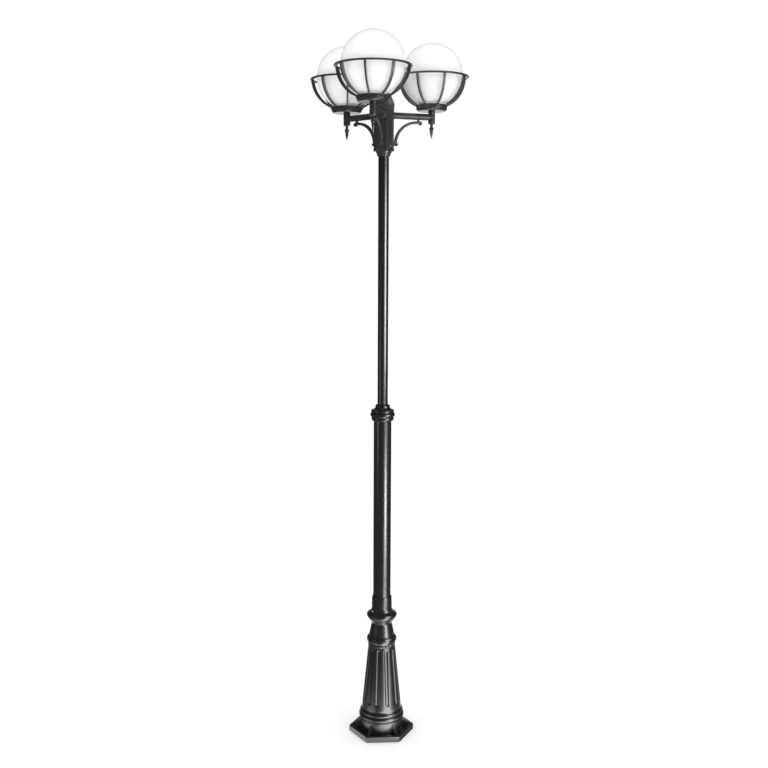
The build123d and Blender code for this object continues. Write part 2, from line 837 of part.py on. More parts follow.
# One rib: an arc outside and an arc inside, closer together at the cup than at the rim,
# a tail on the cup, and room for the globe
def rib():
    wall = cup_radius + seat_gap
    outer_foot = (wall + rib_tail_thickness, cup_top - rib_foot_drop)
    outer_top = (rib_top_radius, rim_bottom)
    inner_foot = (wall, cup_top + rib_foot_rise)
    inner_top = (rib_top_radius - rib_top_depth, rim_bottom)
    outer_mid = bowed_middle(outer_foot, outer_top, rib_outer_radius)
    inner_mid = bowed_middle(inner_foot, inner_top, rib_inner_radius)
    join = rim_bottom + rim_height / 2.0
    side = profile(
        outer_foot,
        (*outer_mid, *outer_top),
        (rib_top_radius, join),
        (rim_radius - rim_width + rim_chamfer, join),
        inner_top,
        (*inner_mid, *inner_foot),
        (wall, cup_top - rib_tail_drop),
        (wall + rib_tail_thickness, cup_top - rib_tail_drop),
    )
    blank = extrude(side, rib_top_width, both=True)
    foot = cup_top - rib_tail_drop
    front = make_face(Polyline(
        (0, -rib_foot_width / 2.0, foot), (0, rib_foot_width / 2.0, foot),
        (0, rib_top_width / 2.0, join), (0, -rib_top_width / 2.0, join), close=True))
    ball_space = Pos(0, 0, globe_level) * Sphere(globe_radius + ball_gap)
    return (blank & extrude(front, rim_radius, dir=(1, 0, 0))) - ball_space


def basket():
    inner = rim_radius - rim_width
    rim = turned(
        (inner + rim_chamfer, rim_bottom),
        (rim_radius - rim_chamfer, rim_bottom),
        (rim_radius, rim_bottom + rim_chamfer),
        (rim_radius, rim_top - rim_chamfer),
        (rim_radius - rim_chamfer, rim_top),
        (inner + rim_chamfer, rim_top),
        (inner, rim_top - rim_chamfer),
        (inner, rim_bottom + rim_chamfer),
    )
    return rim + ring_of(rib(), rib_count, 0.0)


def globe():
    inner_neck = neck_radius - globe_wall
    inner_ball = globe_radius - globe_wall
    lip = neck_radius + neck_lip
    outer_join = globe_level - math.sqrt(globe_radius ** 2 - neck_radius ** 2)
    inner_join = globe_level - math.sqrt(inner_ball ** 2 - inner_neck ** 2)
    return turned(
        (inner_neck, gasket_top),
        (lip, gasket_top),
        (lip, gasket_top + neck_lip_height),
        (neck_radius, gasket_top + neck_lip_height + neck_lip),
        (neck_radius, outer_join),
        (globe_radius, globe_level, 0, globe_level + globe_radius),
        (0, globe_level + inner_ball),
        (inner_ball, globe_level, inner_neck, inner_join),
    )


def gasket():
    return tube(neck_radius + neck_lip, gasket_width, cup_floor_top, gasket_top)


def nipple():
    low = stem_top - nipple_in_stem
    return tube(nipple_radius, nipple_radius - nipple_bore_radius, low, low + nipple_length)


def holder_nut():
    return (hexagon(holder_nut_radius, cup_floor_top, holder_level, 0.0)
            - upright(nipple_radius + thread_gap, cup_floor_top, holder_level))


# Lampholder: a stepped shell with a socket for the bulb's cap
def lampholder():
    top = holder_level + holder_height
    nipple_top = stem_top - nipple_in_stem + nipple_length
    return turned(
        (nipple_radius + thread_gap, holder_level),
        (holder_foot_radius, holder_level),
        (holder_foot_radius, holder_level + holder_foot_height / 2.0),
        cove((holder_foot_radius, holder_level + holder_foot_height / 2.0),
             (holder_radius, holder_level + holder_foot_height)),
        (holder_radius, top),
        (bulb_cap_radius + lift_gap, top),
        (bulb_cap_radius + lift_gap, bulb_seat),
        (0, bulb_seat),
        (0, nipple_top),
        (nipple_radius + thread_gap, nipple_top),
    )


# Screw cap of the bulb, with its centre contact
def bulb_cap():
    shell_bottom = bulb_seat + bulb_contact_length
    return turned(
        (0, bulb_seat),
        (bulb_contact_radius, bulb_seat),
        (bulb_contact_radius, shell_bottom),
        (bulb_cap_radius, shell_bottom + bulb_cap_taper),
        (bulb_cap_radius, bulb_seat + bulb_cap_length),
        (bulb_cap_radius - bulb_wall, bulb_seat + bulb_cap_length),
        (bulb_cap_radius - bulb_wall, shell_bottom + bulb_cap_taper),
        (0, shell_bottom + bulb_cap_taper),
    )


# Outline of the bulb's glass, at the given depth inside its surface
def bulb_outline(depth):
    low = bulb_seat + bulb_cap_length
    ball = low + bulb_length - bulb_radius
    radius = bulb_radius - depth
    join_angle = math.radians(bulb_neck_angle)
    neck = (bulb_cap_radius - depth, low)
    join = (radius * math.cos(join_angle), ball - radius * math.sin(join_angle))
    middle = ((neck[0] + join[0]) / 2.0 - bulb_neck_hollow,
              (neck[1] + join[1]) / 2.0 + bulb_neck_hollow)
    side = (radius * math.cos(join_angle / 2.0), ball + radius * math.sin(join_angle / 2.0))
    return neck, middle, join, side, (0, ball + radius)


# Pear-shaped glass of the bulb, open at its neck
def bulb_glass():
    neck, middle, join, side, top = bulb_outline(0.0)
    inner_neck, inner_middle, inner_join, inner_side, inner_top = bulb_outline(bulb_wall)
    return turned(
        inner_neck,
        neck,
        (*middle, *join),
        (*side, *top),
        inner_top,
        (*inner_side, *inner_join),
        (*inner_middle, *inner_neck),
    )


# Pieces of one head, with the arm along +X. Those on the head's own axis are moved
# out to it here, and the whole head is then turned to its place round the post.
def head_pieces():
    on_head_axis = {
        "stem": stem(),
        "drop_finial": drop_finial(),
        "globe_cup": globe_cup(),
        "basket": basket(),
        "gasket": gasket(),
        "cup_screws": cup_screws(),
        "globe": globe(),
        "nipple": nipple(),
        "holder_nut": holder_nut(),
        "lampholder": lampholder(),
        "bulb_cap": bulb_cap(),
        "bulb_glass": bulb_glass(),
    }
    out = Pos(head_distance, 0, 0)
    pieces = {"arm": arm(), "scroll_bracket": scroll_bracket()}
    for name, shape in on_head_axis.items():
        pieces[name] = [out * solid for solid in shape] if isinstance(shape, list) else out * shape
    return pieces


# Every solid of a piece, as one compound
def gathered(shape):
    parts = shape if isinstance(shape, list) else [shape]
    solids = [solid for part in parts for solid in part.solids()]
    return solids[0] if len(solids) == 1 else Compound(children=solids)


def post_pieces():
    return {
        "base_casting": base_casting(),
        "base_set_screws": base_set_screws(),
        "lower_tube": lower_tube(),
        "mid_collar": mid_collar(),
        "upper_tube": upper_tube(),
        "hub_body": hub_body(),
        "hub_set_screws": hub_set_screws(),
        "hub_cap": hub_cap(),
        "cap_finial": cap_finial(),
        "cap_stud": cap_stud(),
        "connector_block": connector_block(),
        "arm_lock_nuts": arm_lock_nuts(),
    }


def main():
    os.makedirs("parts", exist_ok=True)
    for name, shape in post_pieces().items():
        export_step(gathered(shape), f"parts/{name}.step")
    for name, shape in head_pieces().items():
        solids = shape if isinstance(shape, list) else [shape]
        for number, side in enumerate(head_names):
            angle = first_head_angle + 360.0 / len(head_names) * number
            turned_solids = [Rot(0, 0, angle) * solid for solid in solids]
            export_step(gathered(turned_solids), f"parts/{side}_{name}.step")
    print("overall height", globe_level + globe_radius)


main()
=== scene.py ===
import math
import bpy
import numpy as np
from mathutils import Matrix, Vector


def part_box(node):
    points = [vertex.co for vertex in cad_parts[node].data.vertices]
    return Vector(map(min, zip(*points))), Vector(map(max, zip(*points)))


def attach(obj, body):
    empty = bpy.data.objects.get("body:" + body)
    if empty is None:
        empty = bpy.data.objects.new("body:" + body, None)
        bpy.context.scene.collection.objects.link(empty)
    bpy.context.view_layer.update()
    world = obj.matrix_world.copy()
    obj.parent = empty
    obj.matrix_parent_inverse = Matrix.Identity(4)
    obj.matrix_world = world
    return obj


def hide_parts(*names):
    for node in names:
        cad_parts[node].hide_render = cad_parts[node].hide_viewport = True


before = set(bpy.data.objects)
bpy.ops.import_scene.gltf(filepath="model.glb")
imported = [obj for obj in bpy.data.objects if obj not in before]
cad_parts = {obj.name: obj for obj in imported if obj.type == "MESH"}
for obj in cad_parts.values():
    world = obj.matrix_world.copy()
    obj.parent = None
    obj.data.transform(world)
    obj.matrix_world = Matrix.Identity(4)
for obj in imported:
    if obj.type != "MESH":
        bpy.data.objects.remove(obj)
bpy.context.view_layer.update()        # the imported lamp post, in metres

print("frame loaded,", len(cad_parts), "nodes")

mm = 0.001               # shapes below are worked out in millimetres
tau = 2.0 * math.pi
sharpEdge = 38.0         # edges that bend by more degrees stay crisp
pointGap = 0.2           # between the points of an outline, before it is softened
sides = ["right", "left", "front"]
heads = {"firstAngle": 15.0, "reach": 165.0}     # arm directions and the length of an arm


def spanOf(node):
    # lowest and highest corner of a frame node, in millimetres
    low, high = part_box(node)
    return np.array(low) / mm, np.array(high) / mm


def headAngle(side):
    return math.radians(heads["firstAngle"] + 120.0 * sides.index(side))


def arcThrough(start, middle, end, count):
    # circle through three places: its centre has equal distance to all of them
    a, b, c = (np.array(p, float) for p in (start, middle, end))
    rows = np.array([b - a, c - b])
    centre = np.linalg.solve(rows, [(b @ b - a @ a) / 2.0, (c @ c - b @ b) / 2.0])
    turn = [math.atan2(*(p - centre)[::-1]) for p in (a, b, c)]
    first = (turn[1] - turn[0] + math.pi) % tau - math.pi
    second = (turn[2] - turn[1] + math.pi) % tau - math.pi
    angles = turn[0] + (first + second) * np.linspace(0.0, 1.0, count)
    radius = np.linalg.norm(a - centre)
    return centre + radius * np.stack([np.cos(angles), np.sin(angles)], 1)


def outline(start, *moves):
    # runs (x, y) and arcs (x, y through, x, y end), as points about pointGap apart
    pieces = [np.array([start], float)]
    for move in moves:
        here, there = pieces[-1][-1], np.array(move[-2:], float)
        count = max(3, int(np.linalg.norm(there - here) / pointGap))
        if len(move) == 4:
            pieces.append(arcThrough(here, move[:2], there, count)[1:])
        else:
            pieces.append(here + (there - here) * np.linspace(0.0, 1.0, count)[1:, None])
    return np.vstack(pieces)


def bead(core, level, height, bulge):
    # arc of an outline that leaves the core's radius, bulges out and comes back above
    return (core + bulge, level + height / 2.0, core, level + height)


def cove(start, end):
    # quarter of an arc that sets off across and arrives upright
    sweep = 1.0 - math.sqrt(0.5)
    return (start[0] + (end[0] - start[0]) * (1.0 - sweep), start[1] + (end[1] - start[1]) * sweep, *end)


def evenly(points, step):
    # the same line with its points at one spacing along it
    run = np.concatenate([[0.0], np.cumsum(np.linalg.norm(np.diff(points, axis=0), axis=1))])
    at = np.linspace(0.0, run[-1], max(4, int(run[-1] / step) + 1))
    return np.stack([np.interp(at, run, points[:, k]) for k in range(points.shape[1])], 1)


def softened(points, soft=0.5, step=20.0, turn=10.0, closed=False):
    # corners rounded by a bell curve of width soft, then points picked so that none
    # turns by more than about turn degrees or lies further than step from the next
    gap = soft / 4.0
    if closed:
        points = np.vstack([points, points[:1]])
    line = evenly(points, gap)
    half = 12            # points on each side that the bell takes in: three times its width
    bell = np.exp(-0.5 * (np.arange(-half, half + 1) * gap / soft) ** 2)
    bell /= bell.sum()
    if closed:
        ring = line[:-1]
        padded = np.vstack([ring[-half:], ring, ring[:half]])
    else:
        padded = np.vstack([2 * line[0] - line[half:0:-1], line, 2 * line[-1] - line[-2:-half - 2:-1]])
    rounded = np.stack([np.convolve(padded[:, k], bell, "valid") for k in range(line.shape[1])], 1)
    if closed:
        rounded = np.vstack([rounded, rounded[:1]])
    ahead = np.diff(rounded, axis=0)
    length = np.linalg.norm(ahead, axis=1)
    unit = ahead / np.maximum(length, 1e-9)[:, None]
    bend = np.degrees(np.arccos(np.clip((unit[1:] * unit[:-1]).sum(1), -1.0, 1.0)))
    bend = np.concatenate([[0.0], bend])
    cost = np.concatenate([[0.0], np.cumsum(bend / turn + length / step)])
    at = np.linspace(0.0, cost[-1], max(6, int(math.ceil(cost[-1]))) + 1)
    picked = np.stack([np.interp(at, cost, rounded[:, k]) for k in range(rounded.shape[1])], 1)
    return picked[:-1] if closed else picked


# A part is (places, faces): places is an array of points in millimetres.

def gridFaces(rows, columns, wrapRows=False):
    # four-sided faces of a grid that is round in its columns
    r = np.arange(rows if wrapRows else rows - 1)
    a, b = np.meshgrid(r, np.arange(columns), indexing="ij")
    below, right = (a + 1) % rows, (b + 1) % columns
    quads = [a * columns + b, a * columns + right, below * columns + right, below * columns + b]
    return np.stack(quads, -1).reshape(-1, 4)


def outward(places, faces):
    # turns the faces over where the volume that they enclose comes out negative
    volume = 0.0
    for group in faces:
        corners = places[group]
        for k in range(1, group.shape[1] - 1):
            volume += (corners[:, 0] * np.cross(corners[:, k], corners[:, k + 1])).sum()
    return faces if volume > 0 else [group[:, ::-1] for group in faces]


def closedGrid(grid, poles=False, wrapRows=False):
    # grid of places (rows, columns, 3), round in columns; with poles, its first and last
    # rows are drawn in to one place each
    rows, columns = grid.shape[:2]
    if not poles:
        places = grid.reshape(-1, 3)
        return places, outward(places, [gridFaces(rows, columns, wrapRows)])
    inner = grid[1:-1]
    places = np.vstack([inner.reshape(-1, 3), grid[0].mean(0)[None], grid[-1].mean(0)[None]])
    quads = gridFaces(rows - 2, columns)
    ring = np.arange(columns)
    nextOne = (ring + 1) % columns
    top = np.full(columns, len(places) - 2)
    low = np.full(columns, len(places) - 1)
    last = (rows - 3) * columns
    fans = [np.stack([top, nextOne, ring], 1), np.stack([low, last + ring, last + nextOne], 1)]
    return places, outward(places, [quads, np.vstack(fans)])


def turned(profile, around=128, closed=False, shape=None):
    # (r cos a, r sin a, z) with r and z from the profile; shape may move r by angle and height
    angle = np.arange(around) * tau / around
    radius = np.repeat(profile[:, :1], around, 1)
    height = np.repeat(profile[:, 1:2], around, 1)
    angle = np.repeat(angle[None], len(profile), 0)
    if shape is not None:
        radius, angle = shape(radius, angle, height)
    grid = np.stack([radius * np.cos(angle), radius * np.sin(angle), height], -1)
    return closedGrid(grid, poles=not closed, wrapRows=closed)


def hexLoft(rows, corner=2.0, closed=False, along=8, arc=5, relief=None):
    # rows of (apothem, height, roundness): each ring is a hexagon with its corners on arcs,
    # mixed with a circle of the same radius by the roundness; relief sinks or lifts the faces
    apothem, height, roundness = (rows[:, k][:, None, None] for k in range(3))
    tight = np.minimum(corner, apothem * 0.8)
    cornerAngle = np.arange(6)[None, :, None] * tau / 6
    fan = np.linspace(-1.0, 1.0, arc)[None, None, :] * tau / 12
    out = (apothem - tight) / math.cos(tau / 12)
    x = out * np.cos(cornerAngle) + tight * np.cos(cornerAngle + fan)
    y = out * np.sin(cornerAngle) + tight * np.sin(cornerAngle + fan)
    share = np.linspace(0.0, 1.0, along + 1)[1:-1][None, None, :]
    xFace = x[:, :, -1:] * (1 - share) + np.roll(x, -1, 1)[:, :, :1] * share
    yFace = y[:, :, -1:] * (1 - share) + np.roll(y, -1, 1)[:, :, :1] * share
    fromEdge = np.minimum(share, 1 - share) * np.hypot(x[:, :, -1:] - np.roll(x, -1, 1)[:, :, :1],
                                                       y[:, :, -1:] - np.roll(y, -1, 1)[:, :, :1])
    if relief is not None:
        lift = relief(fromEdge, height + 0 * fromEdge)
        faceAngle = cornerAngle + tau / 12
        xFace = xFace + lift * np.cos(faceAngle)
        yFace = yFace + lift * np.sin(faceAngle)
    x = np.concatenate([x, xFace], 2).reshape(len(rows), -1)
    y = np.concatenate([y, yFace], 2).reshape(len(rows), -1)
    way = np.arctan2(y, x)
    mix = roundness[:, :, 0]
    x = x * (1 - mix) + rows[:, :1] * np.cos(way) * mix
    y = y * (1 - mix) + rows[:, :1] * np.sin(way) * mix
    grid = np.stack([x, y, np.repeat(rows[:, 1:2], x.shape[1], 1)], -1)
    return closedGrid(grid, poles=not closed, wrapRows=closed)


def section(halfWide, halfDeep, soft, arc=4):
    # rings of a rounded rectangle, one for each row: corner centre + soft * (cos, sin), on
    # four quarter circles, with one more place in the middle of each side
    halfWide, halfDeep = (np.maximum(v, 1e-3)[:, None] for v in np.broadcast_arrays(halfWide, halfDeep))
    soft = np.minimum(soft, np.minimum(halfWide, halfDeep) * 0.95)
    turns = np.linspace(0.0, tau / 4, arc)
    wide, deep = [], []
    for k, (x, y) in enumerate([(1, 1), (-1, 1), (-1, -1), (1, -1)]):
        fan = turns[None] + k * tau / 4
        wide.append(x * (halfWide - soft) + soft * np.cos(fan))
        deep.append(y * (halfDeep - soft) + soft * np.sin(fan))
        upright = k % 2 == 1      # the side that follows this corner
        wide.append(x * halfWide if upright else 0 * halfWide)
        deep.append(0 * halfDeep if upright else y * halfDeep)
    return np.concatenate(wide, 1), np.concatenate(deep, 1)


def swept(path, across, width, depth, soft=0.8, rounding=1.0):
    # a bar of rounded section along a path: across is its level side, width lies along it and
    # depth lies square to it and to the path; both ends draw in on a quarter circle
    count = len(path)
    forward = np.gradient(path, axis=0)
    forward /= np.linalg.norm(forward, axis=1)[:, None]
    across = np.broadcast_to(np.asarray(across, float), path.shape)
    up = np.cross(forward, across)
    run = np.concatenate([[0.0], np.cumsum(np.linalg.norm(np.diff(path, axis=0), axis=1))])
    near = np.minimum(run, run[-1] - run) / rounding
    drawIn = np.sqrt(1.0 - (1.0 - np.clip(near, 0.0, 1.0)) ** 2)
    wide, deep = section(np.broadcast_to(width, count) * 0.5 - rounding * (1 - drawIn),
                         np.broadcast_to(depth, count) * 0.5 - rounding * (1 - drawIn), soft)
    grid = path[:, None] + wide[..., None] * across[:, None] + deep[..., None] * up[:, None]
    ends = [np.repeat(path[end, None], wide.shape[1], 1) for end in ([0], [-1])]
    return closedGrid(np.concatenate([ends[0], grid, ends[1]]), poles=True)


def moved(part, x=0.0, y=0.0, z=0.0):
    return part[0] + np.array([x, y, z]), part[1]


def spun(part, angle):
    # turned about the upright axis
    c, s = math.cos(angle), math.sin(angle)
    return part[0] @ np.array([[c, s, 0], [-s, c, 0], [0, 0, 1]]), part[1]


def laidOut(part):
    # turned so that what stood along Z lies along X
    places = part[0]
    return np.stack([places[:, 2], places[:, 1], -places[:, 0]], 1), part[1]


def joined(parts):
    # several parts as one
    places, faces, start = [], [], 0
    for some, groups in parts:
        faces += [group + start for group in groups]
        places.append(some)
        start += len(some)
    return np.vstack(places), faces


wearReach = 0.0006       # radius of an edge that reads as wholly worn, in metres


def wearOf(mesh):
    # how far each place's neighbours lie below its tangent plane, over their distance
    # squared: 0.5 is flat, more is an outer edge and less is a hollow
    count = len(mesh.vertices)
    places = np.empty(count * 3)
    normals = np.empty(count * 3)
    edges = np.empty(len(mesh.edges) * 2, int)
    mesh.vertices.foreach_get("co", places)
    mesh.vertex_normals.foreach_get("vector", normals)
    mesh.edges.foreach_get("vertices", edges)
    places, normals = places.reshape(-1, 3), normals.reshape(-1, 3)
    a, b = edges.reshape(-1, 2).T
    way = places[b] - places[a]
    far = np.maximum((way ** 2).sum(1), 1e-12)
    bent = np.zeros(count)
    shares = np.zeros(count)
    np.add.at(bent, a, -(way * normals[a]).sum(1) / far)
    np.add.at(bent, b, (way * normals[b]).sum(1) / far)
    np.add.at(shares, a, 1.0)
    np.add.at(shares, b, 1.0)
    return np.clip(0.5 + bent / np.maximum(shares, 1.0) * wearReach, 0.0, 1.0)


def meshOf(name, part):
    # a mesh in metres
    places, faces = part
    mesh = bpy.data.meshes.new(name)
    mesh.from_pydata((places * mm).tolist(), [], [face for group in faces for face in group.tolist()])
    return mesh


def put(name, part, look, node, body="post"):
    # makes a piece of a part, with the finish of that name, on its body in place of its node
    mesh = meshOf(name, part)
    mesh.validate()
    mesh.polygons.foreach_set("use_smooth", np.ones(len(mesh.polygons), bool))
    mesh.update()
    mesh.set_sharp_from_angle(angle=math.radians(sharpEdge))
    mesh.attributes.new("wear", "FLOAT", "POINT").data.foreach_set("value", wearOf(mesh))
    mesh.materials.append(finishes[look])
    piece = bpy.data.objects.new(name, mesh)
    bpy.context.scene.collection.objects.link(piece)
    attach(piece, body)
    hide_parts(node)
    return piece


def wired(tree, kind, sockets, **settings):
    # a new node: its settings first, and then a link or a plain value for each socket
    node = tree.nodes.new("ShaderNode" + kind)
    for key, value in settings.items():
        setattr(node, key, value)
    for key, value in sockets.items():
        if isinstance(value, bpy.types.NodeSocket):
            tree.links.new(value, node.inputs[key])
        else:
            node.inputs[key].default_value = value
    return node


def maths(tree, kind, *values):
    return wired(tree, "Math", dict(enumerate(values)), operation=kind).outputs["Value"]


def ranged(tree, value, low, high, newLow=0.0, newHigh=1.0, kind="LINEAR"):
    # carries low to newLow and high to newHigh, and holds the value beyond them
    ends = {"Value": value, "From Min": low, "From Max": high, "To Min": newLow, "To Max": newHigh}
    return wired(tree, "MapRange", ends, interpolation_type=kind).outputs["Result"]


def noise(tree, place, scale, detail, rough=0.5):
    sockets = {"Vector": place, "Scale": scale, "Detail": detail, "Roughness": rough}
    return wired(tree, "TexNoise", sockets).outputs["Fac"]


def mixed(tree, share, a, b, blend="MIX"):
    node = wired(tree, "Mix", {"Factor": share, "A": a, "B": b}, data_type="RGBA", blend_type=blend)
    return node.outputs["Result"]


def plainOrColour(value):
    return (*value, 1.0) if isinstance(value, tuple) else value


def effectGroup(name, inputs):
    # a node group with its inputs, a triple being a colour, and the three outputs of a finish
    group = bpy.data.node_groups.new(name, "ShaderNodeTree")
    for key, value in inputs.items():
        kind = "NodeSocketColor" if isinstance(value, tuple) else "NodeSocketFloat"
        socket = group.interface.new_socket(key, in_out="INPUT", socket_type=kind)
        socket.default_value = plainOrColour(value)
    for key, kind in (("Color", "Color"), ("Roughness", "Float"), ("Normal", "Vector")):
        group.interface.new_socket(key, in_out="OUTPUT", socket_type="NodeSocket" + kind)
    given = group.nodes.new("NodeGroupInput").outputs
    place = group.nodes.new("ShaderNodeTexCoord").outputs["Object"]
    return group, given, place


def putOut(group, colour, rough, height, strength, deep):
    # hands on the colour and the roughness, with a bump as the normal, up to deep metres
    bump = wired(group, "Bump", {"Strength": strength, "Distance": deep, "Height": height})
    result = group.nodes.new("NodeGroupOutput")
    for key, value in (("Color", colour), ("Roughness", rough), ("Normal", bump.outputs["Normal"])):
        group.links.new(value, result.inputs[key])


def paintGroup():
    # powder coat: fine orange peel, faint clouds of tone, paler and smoother on worn outer
    # edges, with a breath of dust in the hollows
    group, given, place = effectGroup("powderCoat", {
        "Paint": (0.03, 0.03, 0.03), "Worn": (0.12, 0.115, 0.11), "Dust": (0.09, 0.08, 0.068),
        "Peel Size": 900.0, "Peel Depth": 0.25, "Wear": 0.5, "Gloss": 0.36})
    wear = wired(group, "Attribute", {}, attribute_name="wear").outputs["Fac"]
    clouds = noise(group, place, 9.0, 4.0, 0.6)
    specks = noise(group, place, 260.0, 3.0, 0.7)
    peel = noise(group, place, given["Peel Size"], 2.0, 0.45)
    patch = ranged(group, maths(group, "ADD", clouds, specks), 0.86, 1.14)
    edge = maths(group, "MULTIPLY", ranged(group, wear, 0.56, 0.80), patch)
    edge = maths(group, "MULTIPLY", edge, given["Wear"])
    hollow = maths(group, "MULTIPLY", ranged(group, wear, 0.46, 0.30, 0.0, 0.5), specks)
    tone = ranged(group, clouds, 0.3, 0.7, 0.80, 1.22)
    shade = wired(group, "CombineColor", {"Red": tone, "Green": tone, "Blue": tone})
    colour = mixed(group, 1.0, given["Paint"], shade.outputs["Color"], "MULTIPLY")
    colour = mixed(group, hollow, colour, given["Dust"])
    colour = mixed(group, edge, colour, given["Worn"])
    rough = maths(group, "ADD", given["Gloss"], ranged(group, specks, 0.3, 0.7, -0.05, 0.07))
    rough = maths(group, "ADD", rough, maths(group, "MULTIPLY", hollow, 0.4))
    rough = maths(group, "SUBTRACT", rough, maths(group, "MULTIPLY", edge, 0.08))
    putOut(group, colour, rough, peel, given["Peel Depth"], 0.0003)
    return group


def grainGroup():
    # bare surfaces: a fine grain over broad clouds, from bright and smooth to dull and rough
    group, given, place = effectGroup("fineGrain", {
        "Bright": (0.6, 0.6, 0.58), "Dull": (0.4, 0.4, 0.38), "Size": 300.0, "Gloss": 0.3,
        "Spread": 0.15, "Depth": 0.1})
    fine = noise(group, place, given["Size"], 5.0)
    broad = noise(group, place, 14.0, 3.0)
    share = ranged(group, maths(group, "MULTIPLY", fine, broad), 0.12, 0.38)
    colour = mixed(group, share, given["Bright"], given["Dull"])
    rough = maths(group, "MULTIPLY_ADD", share, given["Spread"], given["Gloss"])
    putOut(group, colour, rough, fine, given["Depth"], 0.0002)
    return group


def finish(name, group, values):
    # a Principled surface fed by a group: each value goes to the group's socket of that
    # name, or else to the surface's own
    material = bpy.data.materials.new(name)
    material.use_nodes = True
    tree = material.node_tree
    shader = tree.nodes["Principled BSDF"]
    effect = wired(tree, "Group", {}, node_tree=group)
    for key, value in values.items():
        socket = (effect if key in effect.inputs else shader).inputs[key]
        socket.default_value = plainOrColour(value)
    for key, socket in (("Color", "Base Color"), ("Roughness", "Roughness"), ("Normal", "Normal")):
        tree.links.new(effect.outputs[key], shader.inputs[socket])
    return material


# Paints: a dark enamel with a hard gloss coat. The head's is duller than the post's, and its colour is made
# paler to paint in the grey sheen that broad light gives it
headColourWithPaintedSheen = (0.028, 0.027, 0.027)
paints = {
    "castPaint": {"Specular IOR Level": 0.85, "IOR": 1.65, "Coat Weight": 0.8, "Coat Roughness": 0.24,
                  "Paint": (0.0075, 0.0056, 0.0052), "Worn": (0.05, 0.046, 0.043),
                  "Peel Size": 620.0, "Peel Depth": 0.12, "Wear": 0.4, "Gloss": 0.34},
    "tubePaint": {"Specular IOR Level": 0.9, "IOR": 1.75, "Coat Weight": 1.0, "Coat Roughness": 0.2,
                  "Paint": (0.0075, 0.0060, 0.0050), "Worn": (0.05, 0.046, 0.042),
                  "Peel Size": 900.0, "Peel Depth": 0.06, "Wear": 0.3, "Gloss": 0.30},
    "headPaint": {"Specular IOR Level": 0.8, "IOR": 1.65, "Coat Weight": 0.65, "Coat Roughness": 0.26,
                  "Paint": headColourWithPaintedSheen, "Worn": (0.06, 0.057, 0.055), "Dust": (0.035, 0.032, 0.029),
                  "Peel Size": 620.0, "Peel Depth": 0.14, "Wear": 0.5, "Gloss": 0.40},
    # the arm takes the head's colour, paler than the post's paint to paint in a grey sheen
    "armPaint": {"Specular IOR Level": 0.75, "IOR": 1.6, "Coat Weight": 0.2, "Coat Roughness": 0.4,
                 "Paint": headColourWithPaintedSheen, "Worn": (0.05, 0.046, 0.042),
                 "Peel Size": 800.0, "Peel Depth": 0.1, "Wear": 0.35, "Gloss": 0.42},
    "screwPaint": {"Specular IOR Level": 0.9, "Coat Weight": 0.3, "Coat Roughness": 0.2,
                   "Paint": (0.009, 0.008, 0.0075), "Worn": (0.1, 0.095, 0.09),
                   "Peel Size": 1500.0, "Peel Depth": 0.15, "Wear": 0.7, "Gloss": 0.36},
}
everyPaint = {"Coat IOR": 1.9, "Dust": (0.03, 0.026, 0.022)}
bareSurfaces = {
    "stainless": {"Metallic": 1.0, "Bright": (0.72, 0.71, 0.68), "Dull": (0.5, 0.49, 0.46),
                  "Size": 900.0, "Gloss": 0.2, "Spread": 0.2, "Depth": 0.15},
    "platedSteel": {"Metallic": 1.0, "Bright": (0.62, 0.61, 0.56), "Dull": (0.42, 0.41, 0.36),
                    "Size": 500.0, "Gloss": 0.28, "Spread": 0.25, "Depth": 0.2},
    "opalGlobe": {"Specular IOR Level": 0.12, "Bright": (0.96, 0.96, 0.955), "Dull": (0.94, 0.94, 0.935),
                  "Size": 60.0, "Gloss": 0.2, "Spread": 0.08, "Depth": 0.03},
    "gasketRubber": {"Specular IOR Level": 0.3, "Bright": (0.028, 0.028, 0.028), "Dull": (0.05, 0.05, 0.05),
                     "Size": 1800.0, "Gloss": 0.7, "Spread": 0.2, "Depth": 0.8},
    "holderCeramic": {"Bright": (0.80, 0.79, 0.75), "Dull": (0.72, 0.70, 0.65),
                      "Size": 120.0, "Gloss": 0.16, "Spread": 0.1, "Depth": 0.05},
    "bulbMetal": {"Metallic": 1.0, "Bright": (0.78, 0.78, 0.79), "Dull": (0.6, 0.6, 0.6),
                  "Size": 1200.0, "Gloss": 0.18, "Spread": 0.2, "Depth": 0.1},
    "bulbOpal": {"Bright": (0.90, 0.90, 0.88), "Dull": (0.84, 0.84, 0.82),
                 "Size": 400.0, "Gloss": 0.3, "Spread": 0.1, "Depth": 0.04},
    "terminalPlastic": {"Specular IOR Level": 0.4, "Bright": (0.76, 0.73, 0.64), "Dull": (0.66, 0.63, 0.54),
                        "Size": 700.0, "Gloss": 0.45, "Spread": 0.1, "Depth": 0.2},
}
powderCoat = paintGroup()
fineGrain = grainGroup()
finishes = {name: finish(name, powderCoat, {**everyPaint, **values}) for name, values in paints.items()}
finishes.update({name: finish(name, fineGrain, values) for name, values in bareSurfaces.items()})
print("materials made")


